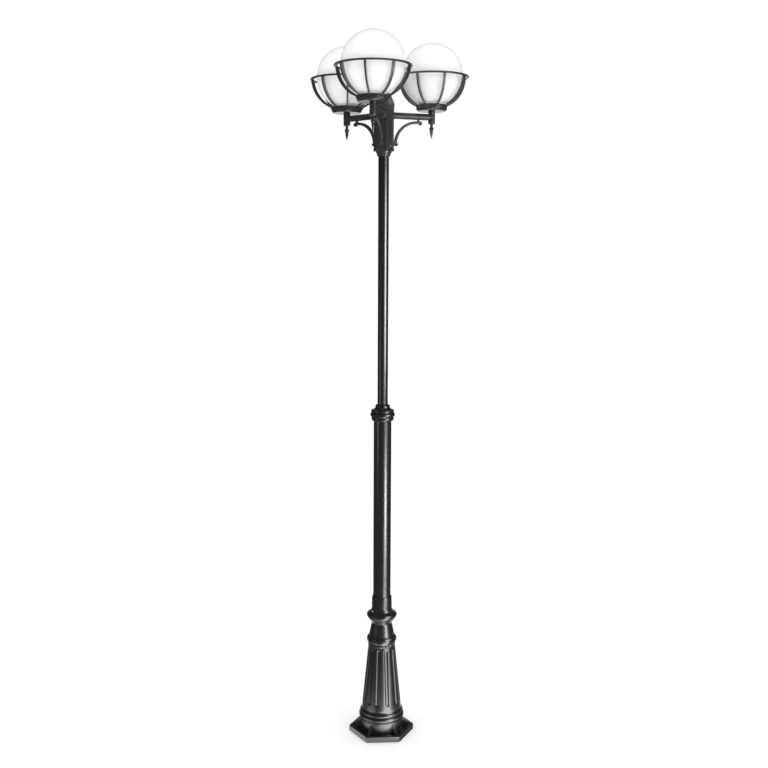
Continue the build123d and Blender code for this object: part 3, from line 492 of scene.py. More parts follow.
# Base: a turned column with flutes and a twisted ring, on a hexagonal dish with webs
base = {"across": 225.0, "rimHigh": 21.0, "rimWide": 8.0, "floor": 9.0, "bevel": 2.5,
        "plinth": 73.5, "plinthHigh": 52.0, "groove": 3.0, "grooveDeep": 2.0, "wall": 6.0,
        "beads": [(18.0, 5.6), (12.0, 3.0)], "footCove": 10.0,
        "cone": (67.8, 46.3, 218.0), "shaft": 38.0, "flutes": 12, "fluteRound": 10.9, "fluteDeep": 3.0,
        "fluteLow": 16.0, "fluteHigh": 4.0, "fluteShare": 0.66, "fluteEase": (0.12, 0.02),
        "rope": (45.0, 2.2, 12.0), "strands": 30, "strandLean": 2.6, "strandRise": (0.8, 0.6),
        "collar": (47.3, 3.9, 23.0, 7.0), "vase": (43.2, 34.8, 40.0), "bell": (48.6, 20.0),
        "lip": (3.0, 16.0), "shelf": (4.0, 40.4, 20.0), "socket": (34.9, 33.6, 35.0, 2.0),
        "seat": 330.0, "bore": 30.25, "cable": 27.25, "ledge": 7.0, "floorLean": 0.8,
        "roundFrom": 82.0, "roundOver": 9.0, "webThick": 7.0, "webRise": 26.0, "webFoot": 1.0,
        "webBow": (8.0, 0.62), "webEdge": 1.2, "anchorCircle": 164.0, "anchorHole": 5.0,
        "anchorAngle": 30.0}
coneFoot = base["plinthHigh"] + base["groove"] + sum(h for h, b in base["beads"]) + base["footCove"]
coneTop = coneFoot + base["cone"][2]


def fluted(radius, angle, height):
    # each flute is cut by a bar laid along the cone, and bar is its radius: the cut is
    # sqrt(bar^2 - across^2 - past its end^2) less the bar's height over the cone; the
    # twisted ring swells with the cosine of strands * angle plus its climb
    bar, deep = base["fluteRound"], base["fluteDeep"]
    half = math.sqrt(bar ** 2 - (bar - deep) ** 2)
    sector = tau / base["flutes"]
    order = np.floor(angle / sector)
    share = (angle / sector - order) * 2.0 - 1.0
    edge = half / np.maximum(radius, base["shaft"] + 2.0)
    inFlute = base["fluteShare"]      # of the mesh's columns, so that the flutes get more of them
    near = np.abs(share) / inFlute * edge
    far = edge + (np.abs(share) - inFlute) / (1.0 - inFlute) * (sector / 2.0 - edge)
    local = np.sign(share) * np.where(np.abs(share) < inFlute, near, far)
    ropeHigh = base["rope"][2]
    onColumn = (radius > base["shaft"]) & (height < coneTop + ropeHigh + 0.1)
    turnedTo = np.where(onColumn, order * sector + sector / 2.0 + local, angle)
    low = coneFoot + base["fluteLow"] + half
    high = coneTop - base["fluteHigh"] - half
    past = np.maximum(np.maximum(low - height, height - high), 0.0)
    reach = bar ** 2 - (local * radius) ** 2 - past ** 2
    cut = np.sqrt(np.maximum(reach, 0.0)) - (bar - deep)
    ease, least = base["fluteEase"]
    eased = 0.5 * (cut + np.sqrt(cut ** 2 + ease)) - least
    inCone = onColumn & (height > coneFoot) & (height < coneTop)
    radius = radius - np.where(inCone, np.maximum(eased, 0.0), 0.0)
    climb = (height - coneTop) / ropeHigh
    twist = np.cos(base["strands"] * turnedTo + climb * base["strandLean"])
    swell = np.clip(4.0 * climb * (1.0 - climb), 0.0, 1.0)
    rise, sunk = base["strandRise"]
    onRope = onColumn & (climb > 0.0) & (climb < 1.0)
    return radius + np.where(onRope, (twist - sunk) * rise * swell, 0.0), turnedTo


def columnOutline():
    # (radius, height) up the outside, over the socket's edge and down the inside
    b = base
    core = b["plinth"] - b["grooveDeep"]
    first = b["plinthHigh"] + b["groove"]
    second = first + b["beads"][0][0]
    coveFoot = second + b["beads"][1][0]
    ropeTop = coneTop + b["rope"][2]
    collarTop = ropeTop + b["collar"][2]
    vase = collarTop + b["collar"][3]
    bell = vase + b["vase"][2]
    lip = bell + b["bell"][1]
    shelf = lip + b["lip"][1]
    foot = (b["shelf"][1], shelf + b["shelf"][0])
    socket = foot[1] + b["shelf"][2]
    top = socket + b["socket"][2]
    lower = softened(outline(
        (b["plinth"], 0.0), (b["plinth"], b["plinthHigh"]), (core, b["plinthHigh"]), (core, first),
        bead(b["plinth"] - b["grooveDeep"] / 2.0, first, *b["beads"][0]), (core, second),
        bead(core, second, *b["beads"][1]),
        cove((core, coveFoot), (b["cone"][0], coneFoot)), (b["cone"][1], coneTop),
        (b["rope"][0], coneTop), bead(b["rope"][0], coneTop, b["rope"][2], b["rope"][1]),
        (b["collar"][0], ropeTop)), soft=0.6, step=2.2, turn=9.0)
    upper = softened(outline(
        (b["collar"][0], ropeTop), bead(b["collar"][0], ropeTop, b["collar"][2], b["collar"][1]),
        cove((b["collar"][0], collarTop), (b["vase"][0], vase)), (b["vase"][1], bell),
        (b["bell"][0], lip), bead(b["bell"][0], lip, b["lip"][1], b["lip"][0]), foot,
        cove(foot, (b["socket"][0], socket)), (b["socket"][1], top - b["socket"][3]),
        (b["socket"][1] - b["socket"][3] / 2.0, top), (b["bore"], top)), soft=0.6, step=12.0, turn=8.0)
    wall = b["wall"]
    inside = softened(outline(
        (b["bore"], top), (b["bore"], b["seat"]), (b["cable"], b["seat"]),
        (b["cable"], b["seat"] - b["ledge"]), (b["cone"][1] - wall, coneTop),
        (b["cone"][0] - wall, coneFoot), (b["plinth"] - wall, b["plinthHigh"] - wall),
        (b["plinth"] - wall, 0.0)), soft=0.6, step=60.0, turn=20.0)
    return np.vstack([lower, upper[1:], inside[1:]])


def slab(sideLine, half, bevel):
    # a flat outline in XZ given a thickness along Y, drawn in by the bevel at both faces
    ahead = np.roll(sideLine, -1, 0) - np.roll(sideLine, 1, 0)
    ahead /= np.linalg.norm(ahead, axis=1)[:, None]
    inward = np.stack([-ahead[:, 1], ahead[:, 0]], 1)
    middle = sideLine.mean(0)
    inward *= np.sign(((middle - sideLine) * inward).sum(1).sum())
    steps = np.linspace(0.0, tau / 4, 4)
    low = -half + bevel * (1 - np.sin(steps))
    drawn = bevel * (1 - np.cos(tau / 4 - steps))
    across = np.concatenate([low, -low[::-1]])
    pull = np.concatenate([drawn, drawn[::-1]])
    rings = sideLine[None] + inward[None] * pull[:, None, None]
    grid = np.stack([rings[..., 0], np.repeat(across[:, None], len(sideLine), 1), rings[..., 1]], -1)
    ends = [np.broadcast_to([middle[0], level, middle[1]], (1, len(sideLine), 3))
            for level in (across[0], across[-1])]
    return closedGrid(np.concatenate([ends[0], grid, ends[1]]), poles=True)


def footDish():
    # a closed hexagonal ring: underside, rim with a bevel, and the sunken floor
    b = base
    flat = b["across"] / 2.0 * math.cos(tau / 12)
    inner = b["plinth"] - b["wall"] / 2.0
    line = softened(outline(
        (inner, 0.0), (flat, 0.0), (flat, b["rimHigh"] - b["bevel"]),
        (flat - b["bevel"], b["rimHigh"]), (flat - b["rimWide"], b["rimHigh"]),
        (flat - b["rimWide"] - b["floorLean"], b["floor"]), (inner, b["floor"])),
        soft=0.7, step=9.0, turn=9.0, closed=True)
    roundness = np.clip((b["roundFrom"] - line[:, 0]) / b["roundOver"], 0.0, 1.0)
    return hexLoft(np.column_stack([line, roundness]), corner=3.0, closed=True, along=16, arc=7)


def webs():
    # six upright slabs from the plinth to the corners of the rim, bowed along the top
    b = base
    corner = (b["across"] / 2.0 - b["rimWide"] / math.cos(tau / 12)) + b["bevel"]
    inner = b["plinth"] - b["wall"] / 2.0
    top = b["rimHigh"] + b["webRise"]
    bowOut, bowUp = b["webBow"]
    side = softened(outline(
        (inner, b["webFoot"]), (corner, b["webFoot"]), (corner, b["rimHigh"] - b["bevel"]),
        (b["plinth"] + bowOut, b["rimHigh"] + b["webRise"] * bowUp, b["plinth"], top),
        (inner, top), (inner, b["webFoot"])), soft=0.8, step=6.0, turn=10.0, closed=True)
    web = slab(side, b["webThick"] / 2.0, b["webEdge"])
    return [spun(web, tau / 6 * k) for k in range(6)]


def bore(piece, holes):
    # cuts round holes, given as parts, and keeps the result as the piece's own mesh
    mesh = meshOf("drill", joined(holes))
    drill = bpy.data.objects.new("drill", mesh)
    bpy.context.scene.collection.objects.link(drill)
    cut = piece.modifiers.new("cut", "BOOLEAN")
    cut.object = drill
    cut.solver = "EXACT"
    result = bpy.data.meshes.new_from_object(piece.evaluated_get(bpy.context.evaluated_depsgraph_get()))
    piece.modifiers.clear()
    old = piece.data
    piece.data = result
    bpy.data.meshes.remove(old)
    bpy.data.objects.remove(drill)
    bpy.data.meshes.remove(mesh)
    piece.data.set_sharp_from_angle(angle=math.radians(sharpEdge))


def rod(radius, low, high, around=32):
    # a plain cylinder, (r cos a, r sin a, z)
    ends = np.array([[0.0, low], [radius, low], [radius, high], [0.0, high]])
    return turned(ends, around)


drillPast = 2.0          # how far outside a drill starts and ends
anchor = moved(rod(base["anchorHole"], -drillPast, base["rimHigh"], 40), x=base["anchorCircle"] / 2.0)
anchors = [spun(anchor, math.radians(base["anchorAngle"]) + tau / 3 * k) for k in range(3)]
dish = put("baseFootDish", footDish(), "castPaint", "base_casting")
bore(dish, anchors)
put("baseFootWebs", joined(webs()), "castPaint", "base_casting")
column = turned(columnOutline(), 240, closed=True, shape=fluted)
put("baseColumn", column, "castPaint", "base_casting")
print("base made")


keySocket = {"wide": 0.5, "rim": 0.55, "foot": 0.4}      # shares of a screw head's radius and length


def capScrew(shank, tip, seat, head, headLong, dome=0.6):
    # round head with a hexagonal socket, along X; the shank goes in to its tip
    key = head * keySocket["wide"] * math.cos(tau / 12)
    top, foot = seat + headLong, seat + headLong * keySocket["foot"]
    line = outline((0.0, tip), (shank, tip), (shank, seat), (head, seat), (head, top - dome),
                   (head * keySocket["rim"], top), (key, top))
    outer = softened(line, soft=0.12, step=3.0, turn=14.0)
    rows = np.vstack([np.column_stack([outer[:-1], np.ones(len(outer) - 1)]),
                      [[key, top, 0.0], [key, foot, 0.0], [0.0, foot, 0.0]]])
    return laidOut(hexLoft(rows, corner=0.4, along=3, arc=4))


def screwRing(screw, level, firstDegrees, count=3):
    first = math.radians(firstDegrees)
    return joined([moved(spun(screw, first + tau / count * k), z=level) for k in range(count)])


# the first screw's direction, and then shank, tip, seat, head and length of the head
setScrews = {"base": (90.0, (3.0, 30.0, 37.65, 4.4, 4.0)), "hub": (75.0, (3.0, 17.5, 29.01, 3.6, 2.6))}
for name, (firstAngle, screw) in setScrews.items():
    low, high = spanOf(f"{name}_set_screws")
    ring = screwRing(capScrew(*screw), (low[2] + high[2]) / 2.0, firstAngle)
    put(f"{name}Screws", ring, "stainless", f"{name}_set_screws")

# Tubes, by radius and wall, and the collar that joins them
tubes = {"lower": (30.0, 2.5), "upper": (17.5, 2.0)}
for name, (radius, wall) in tubes.items():
    low, high = spanOf(f"{name}_tube")
    inner = radius - wall
    line = outline((radius, low[2]), (radius, high[2]), (inner, high[2]), (inner, low[2]), (radius, low[2]))
    line = softened(line, soft=0.3, step=60.0, turn=12.0, closed=True)
    put(f"{name}Tube", turned(line, 128, closed=True), "tubePaint", f"{name}_tube")

collar = {"bore": 30.25, "lip": 31.6, "skirt": (37.5, 6.0, 13.0), "ring": (4.1, 16.0),
          "groove": (1.0, 1.6, 1.4), "shoulder": (38.8, 8.2), "shelf": (30.2, 3.0), "neck": (24.6, 9.5),
          "cap": 6.0, "capBow": (0.3, 0.7), "tubeBore": 17.75, "sleeve": 27.25, "cable": 15.0,
          "deep": 37.8, "ledge": 6.0}


def collarOutline():
    # (radius, height) up the outside and down through the three bores
    c = collar
    foot = spanOf("mid_collar")[0][2] + c["deep"]
    tubeTop = spanOf("lower_tube")[1][2]
    sleeveFoot = spanOf("mid_collar")[0][2]
    skirtTop = foot + c["skirt"][2]
    ringTop = skirtTop + c["ring"][1]
    shoulderTop = ringTop + c["shoulder"][1]
    shelfTop = shoulderTop + c["shelf"][1]
    neckTop = shelfTop + c["neck"][1]
    capTop = neckTop + c["cap"]
    skirt, neck = c["skirt"][0], c["neck"][0]
    grooveDeep, lowGroove, highGroove = c["groove"]
    bowIn, bowUp = c["capBow"]
    return softened(outline(
        (c["bore"], foot), (c["lip"], foot),
        cove((c["lip"], foot), (skirt, foot + c["skirt"][1])), (skirt, skirtTop - lowGroove),
        (skirt - grooveDeep, skirtTop - lowGroove), (skirt - grooveDeep, skirtTop), (skirt, skirtTop),
        bead(skirt, skirtTop, c["ring"][1], c["ring"][0]),
        (skirt - grooveDeep, ringTop), (skirt - grooveDeep, ringTop + highGroove),
        (c["shoulder"][0], ringTop + highGroove), (c["shoulder"][0], shoulderTop),
        (c["shelf"][0], shelfTop), cove((c["shelf"][0], shelfTop), (neck, neckTop)),
        (neck - (neck - c["tubeBore"]) * bowIn, neckTop + c["cap"] * bowUp, c["tubeBore"], capTop),
        (c["tubeBore"], sleeveFoot + c["ledge"]), (c["cable"], sleeveFoot + c["ledge"]),
        (c["cable"], sleeveFoot), (c["sleeve"], sleeveFoot), (c["sleeve"], tubeTop), (c["bore"], tubeTop),
        (c["bore"], foot)), soft=0.5, step=14.0, turn=9.0, closed=True)


put("midCollar", turned(collarOutline(), 144, closed=True), "castPaint", "mid_collar")
print("tubes and collar made")

# Hub: hexagonal body with banded ends and sunk panels, over a turned neck
hub = {"neck": 1971.0, "bore": 17.75, "seat": 2040.0, "cable": 15.0, "low": 2044.0, "lowRadius": 21.75,
       "partition": (2064.0, 2072.0), "profile": [(19.4, 0.0), (22.2, 5.6), (22.2, 9.2), (25.6, 12.8)],
       "foot": 1987.0, "top": 2132.0, "corner": 33.5, "band": 1.1, "chamfer": 0.9, "bandLow": 11.0,
       "bandHigh": 15.0, "round": 0.7, "groove": 0.8, "lowGroove": (4.2, 5.0, 6.2, 7.0),
       "highGroove": (5.2, 6.0, 7.4, 8.2), "wall": 5.0, "boss": (6.5, 8.0, 3.1, 4.0),
       "wires": (13.5, 4.5), "panel": (3.4, 4.8, 0.75), "panelSoft": 0.6, "panelEnds": (3.6, 5.8),
       "edge": 2.1}
hubFlat = hub["corner"] * math.cos(tau / 12)


def smooth(value, low, high):
    # an S curve from 0 at low to 1 at high: 3 s^2 - 2 s^3 of the share s between them
    share = np.clip((value - low) / (high - low), 0.0, 1.0)
    return share * share * (3.0 - 2.0 * share)


def hubRelief(fromEdge, height):
    # sinks the middle of each face by an S curve, inside a frame of even width
    first, last, deep = hub["panel"]
    foot, top = hub["foot"] + hub["bandLow"], hub["top"] - hub["bandHigh"]
    ends = (first + hub["panelSoft"], last + hub["panelSoft"])
    rise = smooth(np.minimum(height - foot, top - height), *ends)
    return -deep * smooth(fromEdge, first, last) * rise


def hubRows():
    # (apothem, height, roundness): inside the neck, up the outside, and down to the stud's hole
    h = hub
    bandFlat = (h["corner"] + h["band"]) * math.cos(tau / 12)
    innerFlat = hubFlat - h["wall"]
    boss, bossHigh, studHole, studDeep = h["boss"]
    neck = [(r, h["neck"] + z) for r, z in h["profile"]]
    neckTop = h["profile"][3][0]
    flatGroove = bandFlat - h["groove"]
    lows = [h["foot"] + z for z in h["lowGroove"]]
    under = softened(outline(
        (0.0, h["partition"][0]), (h["lowRadius"], h["partition"][0]), (h["lowRadius"], h["low"]),
        (h["cable"], h["low"]), (h["cable"], h["seat"]), (h["bore"], h["seat"]), (h["bore"], h["neck"]),
        neck[0], cove(neck[0], neck[1]), neck[2], cove(neck[2], neck[3]), (neckTop, h["foot"])),
        soft=0.4, step=30.0, turn=12.0)
    lowTop = h["foot"] + h["bandLow"]
    highFoot = h["top"] - h["bandHigh"]
    highs = [highFoot + z for z in h["highGroove"]]
    near, far = h["panelEnds"]
    outside = softened(outline(
        (neckTop, h["foot"]), (bandFlat - h["round"], h["foot"]), (bandFlat, h["foot"] + h["round"]),
        (bandFlat, lows[0]), (flatGroove, lows[1]), (flatGroove, lows[2]),
        (bandFlat - 0.1, lows[3]), (bandFlat, lowTop - h["chamfer"]),
        (hubFlat, lowTop), (hubFlat, lowTop + near), (hubFlat, lowTop + far), (hubFlat, highFoot - far),
        (hubFlat, highFoot - near), (hubFlat, highFoot),
        (bandFlat, highFoot + h["chamfer"]), (bandFlat, highs[0]), (flatGroove, highs[1]),
        (flatGroove, highs[2]), (bandFlat, highs[3]), (bandFlat, h["top"] - h["round"]),
        (bandFlat - h["round"], h["top"]), (innerFlat, h["top"]), (innerFlat, h["partition"][1])),
        soft=0.22, step=1.5, turn=14.0)
    level = h["partition"][1]
    floor = outline((innerFlat, level), (boss, level), (boss, level + bossHigh),
                    (studHole, level + bossHigh), (studHole, level - studDeep), (0.0, level - studDeep))
    floor = softened(floor, soft=0.3, step=4.0, turn=14.0)[1:]
    onNeck = 1.0 - smooth(outside[:, 0], neckTop, neckTop + 0.6)
    onNeck[outside[:, 1] > lows[1]] = 0.0
    onBoss = smooth(-floor[:, 0], -boss - 6.0, -boss - 2.0)
    return np.vstack([np.column_stack([under[:-1], np.ones(len(under) - 1)]),
                      np.column_stack([outside, onNeck]), np.column_stack([floor, onBoss])])


def hubPiece(part):
    # turned so that a face of the hexagon looks along each arm
    return spun(part, math.radians(heads["firstAngle"]) + tau / 12)


wireFoot, wireTop = hub["partition"][0] - drillPast, hub["partition"][1] + drillPast
wireHole = moved(rod(hub["wires"][1], wireFoot, wireTop, 32), x=hub["wires"][0])
wireHoles = [spun(wireHole, headAngle(side)) for side in sides]
hubLoft = hexLoft(hubRows(), corner=hub["edge"], along=30, arc=7, relief=hubRelief)
hubBody = put("hubBody", hubPiece(hubLoft), "headPaint", "hub_body")
bore(hubBody, wireHoles)

cap = {"eave": (36.5, 35.7, 4.0), "shoulder": (27.0, 21.0), "crown": (15.0, 20.0), "top": (9.0, 9.0),
       "lip": 12.0, "wall": 4.5, "skirt": (8.0, 3.0), "hole": 3.3, "holeRound": (4.0, 7.2), "lift": 0.3}


def capRows():
    # (apothem, height, roundness) over the roof, down the hole and round the hollow and skirt
    c = cap
    flat = math.cos(tau / 12)
    z = hub["top"]
    eave = z + c["eave"][2]
    shoulder = eave + c["shoulder"][1]
    crown = shoulder + c["crown"][1]
    top = crown + c["top"][1]
    skirt = hubFlat - hub["wall"] - c["lift"]
    skirtHigh, skirtThick = c["skirt"]
    wall = c["wall"]
    line = softened(outline(
        (c["eave"][0] * flat, z), (c["eave"][1] * flat, eave), (c["shoulder"][0] * flat, shoulder),
        (c["crown"][0] * flat, crown), (c["top"][0] * flat, top), (c["hole"], top),
        (c["hole"], crown - wall), ((c["crown"][0] - wall) * flat, crown - wall),
        ((c["shoulder"][0] - wall) * flat, shoulder - wall), ((c["eave"][0] - c["lip"]) * flat, z),
        (skirt - skirtThick, z), (skirt - skirtThick, z - skirtHigh),
        (skirt, z - skirtHigh), (skirt, z), (c["eave"][0] * flat, z)),
        soft=0.35, step=6.0, turn=12.0, closed=True)
    near, far = c["holeRound"]
    return np.column_stack([line, smooth(-line[:, 0], -far, -near)])


roof = hexLoft(capRows(), corner=1.2, closed=True, along=10, arc=5)
put("hubCap", hubPiece(roof), "headPaint", "hub_cap", "cap")
spire = {"base": (8.5, 4.0), "neck": (5.0, 5.0), "ball": (9.5, 17.0), "tip": (1.5, 16.0),
         "hole": (3.3, 14.0)}


def spireOutline():
    # (radius, height) from the stud's hole, round the ball and up to the tip
    s = spire
    foot = hub["top"] + cap["eave"][2] + cap["shoulder"][1] + cap["crown"][1] + cap["top"][1]
    neck = foot + s["base"][1]
    ballFoot = neck + s["neck"][1]
    ballTop = ballFoot + s["ball"][1]
    tip = ballTop + s["tip"][1]
    middle = foot + s["base"][1] / 2.0
    return softened(outline(
        (0.0, foot + s["hole"][1]), (s["hole"][0], foot + s["hole"][1]), (s["hole"][0], foot),
        (s["base"][0], foot), (s["base"][0], middle), cove((s["base"][0], middle), (s["neck"][0], neck)),
        (s["neck"][0], ballFoot), bead(s["neck"][0], ballFoot, s["ball"][1], s["ball"][0] - s["neck"][0]),
        (s["tip"][0], tip), (0.0, tip)), soft=0.3, step=8.0, turn=8.0)


put("capSpire", turned(spireOutline(), 72), "headPaint", "cap_finial", "cap")


def threaded(pitch, deep, low, high, least):
    # sinks what is wider than least by deep * (1 - cos(angle - tau * height / pitch)) / 2,
    # a helix that runs out within a pitch of low and high
    def shape(r, angle, height):
        wave = 0.5 - 0.5 * np.cos(angle - tau * height / pitch)
        inside = smooth(height, low, low + pitch) * smooth(-height, -high, pitch - high)
        return r - np.where(r > least, deep * wave * inside, 0.0), angle
    return shape


low, high = spanOf("cap_stud")
stud = {"radius": 3.0, "pitch": 1.0, "deep": 0.55, "core": 1.5, "step": 0.16}
line = outline((0.0, low[2]), (stud["radius"], low[2]), (stud["radius"], high[2]), (0.0, high[2]))
line = softened(line, soft=0.2, step=stud["step"], turn=20.0)
studThread = threaded(stud["pitch"], stud["deep"], low[2], high[2], stud["core"])
put("capStud", turned(line, 24, shape=studThread), "platedSteel", "cap_stud")
nuts = {"corner": 12.0, "thick": 4.0, "hole": 8.1, "rim": 0.4, "round": 0.97, "chamfer": (0.5, 0.9)}


def nutPart():
    # hexagon nut along X, its corners rounded off at both faces
    flat = nuts["corner"] * math.cos(tau / 12)
    near = hubFlat - hub["wall"] - nuts["thick"]
    far = near + nuts["thick"]
    hole, rim, edge = nuts["hole"], nuts["hole"] + nuts["rim"], flat * nuts["round"]
    first, last = nuts["chamfer"]
    rows = [(hole, near, 1.0), (rim, near, 1.0), (edge, near, 0.9), (flat, near + first, 0.35),
            (flat, near + last, 0.0), (flat, far - last, 0.0), (flat, far - first, 0.35),
            (edge, far, 0.9), (rim, far, 1.0), (hole, far, 1.0)]
    return laidOut(hexLoft(np.array(rows), corner=0.6, closed=True, along=6, arc=5))


armLevel = hub["top"] - 30.0
lockNuts = [moved(spun(nutPart(), headAngle(side)), z=armLevel) for side in sides]
put("armLockNuts", joined(lockNuts), "platedSteel", "arm_lock_nuts")
print("hub and cap made")

# Heads: each piece is made once with its arm along X, and then turned to its place
arm = {"flange": (14.0, 4.0), "flare": 6.0, "radius": 10.4, "bore": 5.0, "spigot": 8.0,
       "gap": 5.5, "inner": 19.01, "stemFit": 0.1}
scroll = {"near": 40.0, "run": 74.0, "level": 24.5, "rise": 71.1, "thick": 9.0, "wide": 9.0, "tail": 10.5,
          "lug": 13.0, "lugLean": (0.7, 1.0), "post": (5.0, 5.0), "intoArm": 0.8,
          "curl": (4.2, 1.8, 1.5, 2.8), "spread": 0.5}
stem = {"radius": 11.25, "above": 19.0, "below": 22.0, "chamfer": 2.0, "topChamfer": 0.4}
drop = {"neck": (4.6, 10.0), "bead": (2.9, 12.0), "body": (4.5, 0.7, 10.0), "tip": (1.3, 2.0, 15.0),
        "point": (0.8, 0.6)}
cup = {"radius": 50.0, "high": 20.0, "bevel": 5.0, "wall": 2.5, "floor": 3.0, "hole": 5.1,
       "screw": (2.0, 44.8, 50.0, 3.5, 3.0), "screwDome": 0.5, "screwAngle": 22.5, "screwLevel": 12.5}
ball = {"radius": 100.0, "wall": 3.0, "neck": 43.0, "lip": (1.5, 3.0), "lift": 2.0, "rise": 4.7}
rim = {"radius": 121.0, "wide": 11.0, "high": 5.5, "chamfer": 1.3, "drop": 4.5}
rib = {"count": 8, "outerArc": 105.0, "innerArc": 101.0, "top": 118.5, "topDeep": 12.0, "topWide": 6.0,
       "footWide": 4.8, "tail": (3.6, 9.0, 3.0), "footRise": 2.5, "seat": 0.2, "tuck": 4.6, "rows": 72}
holder = {"foot": (12.0, 13.0), "radius": 19.0, "high": 40.0, "mouth": 13.5, "seat": 24.0, "hole": 5.1,
          "blind": 12.0, "lift": 4.0, "groove": (0.8, 8.0, 8.6, 9.6, 10.2)}
lamp = {"cap": (13.2, 24.0, 1.2, 2.0), "contact": (4.5, 2.0), "radius": 30.0, "long": 82.0,
        "neckAngle": 35.0, "hollow": 1.2, "pitch": 3.6, "thread": 0.7, "threadEnds": (4.5, 23.0)}
stemTop, stemFoot = armLevel + stem["above"], armLevel - stem["below"]
cupTop, cupFloor = stemTop + cup["high"], stemTop + cup["floor"]
ballLevel = cupTop + ball["rise"] + math.sqrt(ball["radius"] ** 2 - ball["neck"] ** 2)
rimTop = ballLevel - rim["drop"]
rimFoot = rimTop - rim["high"]


def armPart():
    # a turned tube along X; its far end follows the stem: x = reach - sqrt(radius^2 - y^2)
    a = arm
    flange = hubFlat + a["flange"][1]
    flare = flange + a["flare"]
    end = heads["reach"] - a["gap"]
    wide = a["flange"][0]
    line = softened(outline(
        (a["bore"], a["inner"]), (a["spigot"], a["inner"]), (a["spigot"], hubFlat), (wide, hubFlat),
        (wide, flange), cove((wide, flange), (a["radius"], flare)), (a["radius"], end),
        (a["bore"], end), (a["bore"], a["inner"])), soft=0.35, step=20.0, turn=9.0, closed=True)
    places, faces = laidOut(turned(line, 72, closed=True))
    saddle = stem["radius"] + a["stemFit"]
    reach = heads["reach"] - np.sqrt(np.maximum(saddle ** 2 - places[:, 1] ** 2, 0.0))
    places[:, 0] = np.minimum(places[:, 0], reach)
    return moved((places, faces), z=armLevel)


def curl(centre, first, turnWay, count=26):
    # a spiral that tightens: radius falls evenly from the first to the last as it turns
    start, last, turns, thin = scroll["curl"]
    share = np.linspace(0.0, 1.0, count)
    angle = first + turnWay * turns * math.pi * share
    radius = start + (last - start) * share
    path = np.array(centre) + radius[:, None] * np.stack([np.cos(angle), np.sin(angle)], 1)
    return path, scroll["thick"] + (thin - scroll["thick"]) * smooth(share, 0.0, 0.5)


def block(corners, soft, bevel):
    # a bar of the strap's width, from its four corners in XZ
    line = softened(outline(*corners, corners[0]), soft=soft, step=3.0, turn=12.0, closed=True)
    return slab(line, scroll["wide"] / 2.0, bevel)


def scrollPart():
    # strap: a quarter of an ellipse between two curls, (centre + run cos a, centre + rise sin a)
    c = scroll
    middle = (c["near"] + c["run"], hub["foot"] + c["level"])
    top = middle[1] + c["rise"]
    angles = np.linspace(math.pi, math.pi / 2, 60)
    quarter = np.stack([middle[0] + c["run"] * np.cos(angles), middle[1] + c["rise"] * np.sin(angles)], 1)
    curlRadius = c["curl"][0]
    lowCurl, lowThick = curl((c["near"] + curlRadius, middle[1]), math.pi, 1.0)
    highCurl, highThick = curl((middle[0] + c["tail"], top - curlRadius), math.pi / 2, -1.0)
    tail = np.stack([np.linspace(middle[0], middle[0] + c["tail"], 6), np.full(6, top)], 1)
    path = np.vstack([lowCurl[:0:-1], quarter, tail[1:-1], highCurl])
    thick = np.concatenate([lowThick[:0:-1], np.full(len(quarter) + 4, c["thick"]), highThick])
    spread = evenly(np.column_stack([path, thick]), 0.75)
    line = np.stack([spread[:, 0], np.zeros(len(spread)), spread[:, 1]], 1)
    wide = c["wide"] + (c["thick"] - spread[:, 2]) * c["spread"]
    strap = swept(line, (0.0, 1.0, 0.0), wide, spread[:, 2], soft=1.1, rounding=0.9)
    half = c["lug"] / 2.0
    short, out = c["lugLean"]
    low, high = middle[1] - half, middle[1] + half
    lug = block([(hubFlat, low), (c["near"], middle[1] - half * short), (c["near"] + out, high),
                 (hubFlat, high)], soft=0.5, bevel=0.8)
    near = middle[0] + c["post"][1] - c["post"][0] / 2.0
    far = middle[0] + c["post"][1] + c["post"][0] / 2.0
    under = armLevel - arm["radius"] * c["intoArm"]
    post = block([(near, top), (far, top), (far, under), (near, under)], soft=0.4, bevel=0.7)
    return joined([strap, lug, post])


# The outlines below are (radius, height), and each is turned about the head's own axis

def stemOutline():
    r, cut, fine = stem["radius"], stem["chamfer"], stem["topChamfer"]
    return softened(outline((0.0, stemFoot), (r - cut, stemFoot), (r, stemFoot + cut), (r, stemTop - fine),
                            (r - fine, stemTop), (0.0, stemTop)), soft=0.3, step=12.0, turn=10.0)


def dropOutline():
    d = drop
    beadTop = stemFoot - d["neck"][1]
    beadFoot = beadTop - d["bead"][1]
    bodyFoot = beadFoot - d["body"][2]
    tipWide, tipHigh, tipLong = d["tip"]
    tip = bodyFoot - tipLong
    share, rise = d["point"]
    neck = d["neck"][0]
    return softened(outline(
        (0.0, tip), (tipWide * share, tip + rise, tipWide, tip + tipHigh), (d["body"][0], bodyFoot),
        bead(d["body"][0], bodyFoot, d["body"][2], d["body"][1]), (neck, beadFoot),
        bead(neck, beadFoot, d["bead"][1], d["bead"][0]), (neck, stemFoot), (0.0, stemFoot)),
        soft=0.3, step=8.0, turn=8.0)


def cupOutline():
    c = cup
    return softened(outline(
        (c["hole"], stemTop), (c["radius"] - c["bevel"], stemTop), (c["radius"], stemTop + c["bevel"]),
        (c["radius"], cupTop), (c["radius"] - c["wall"], cupTop), (c["radius"] - c["wall"], cupFloor),
        (c["hole"], cupFloor), (c["hole"], stemTop)), soft=0.3, step=12.0, turn=10.0, closed=True)


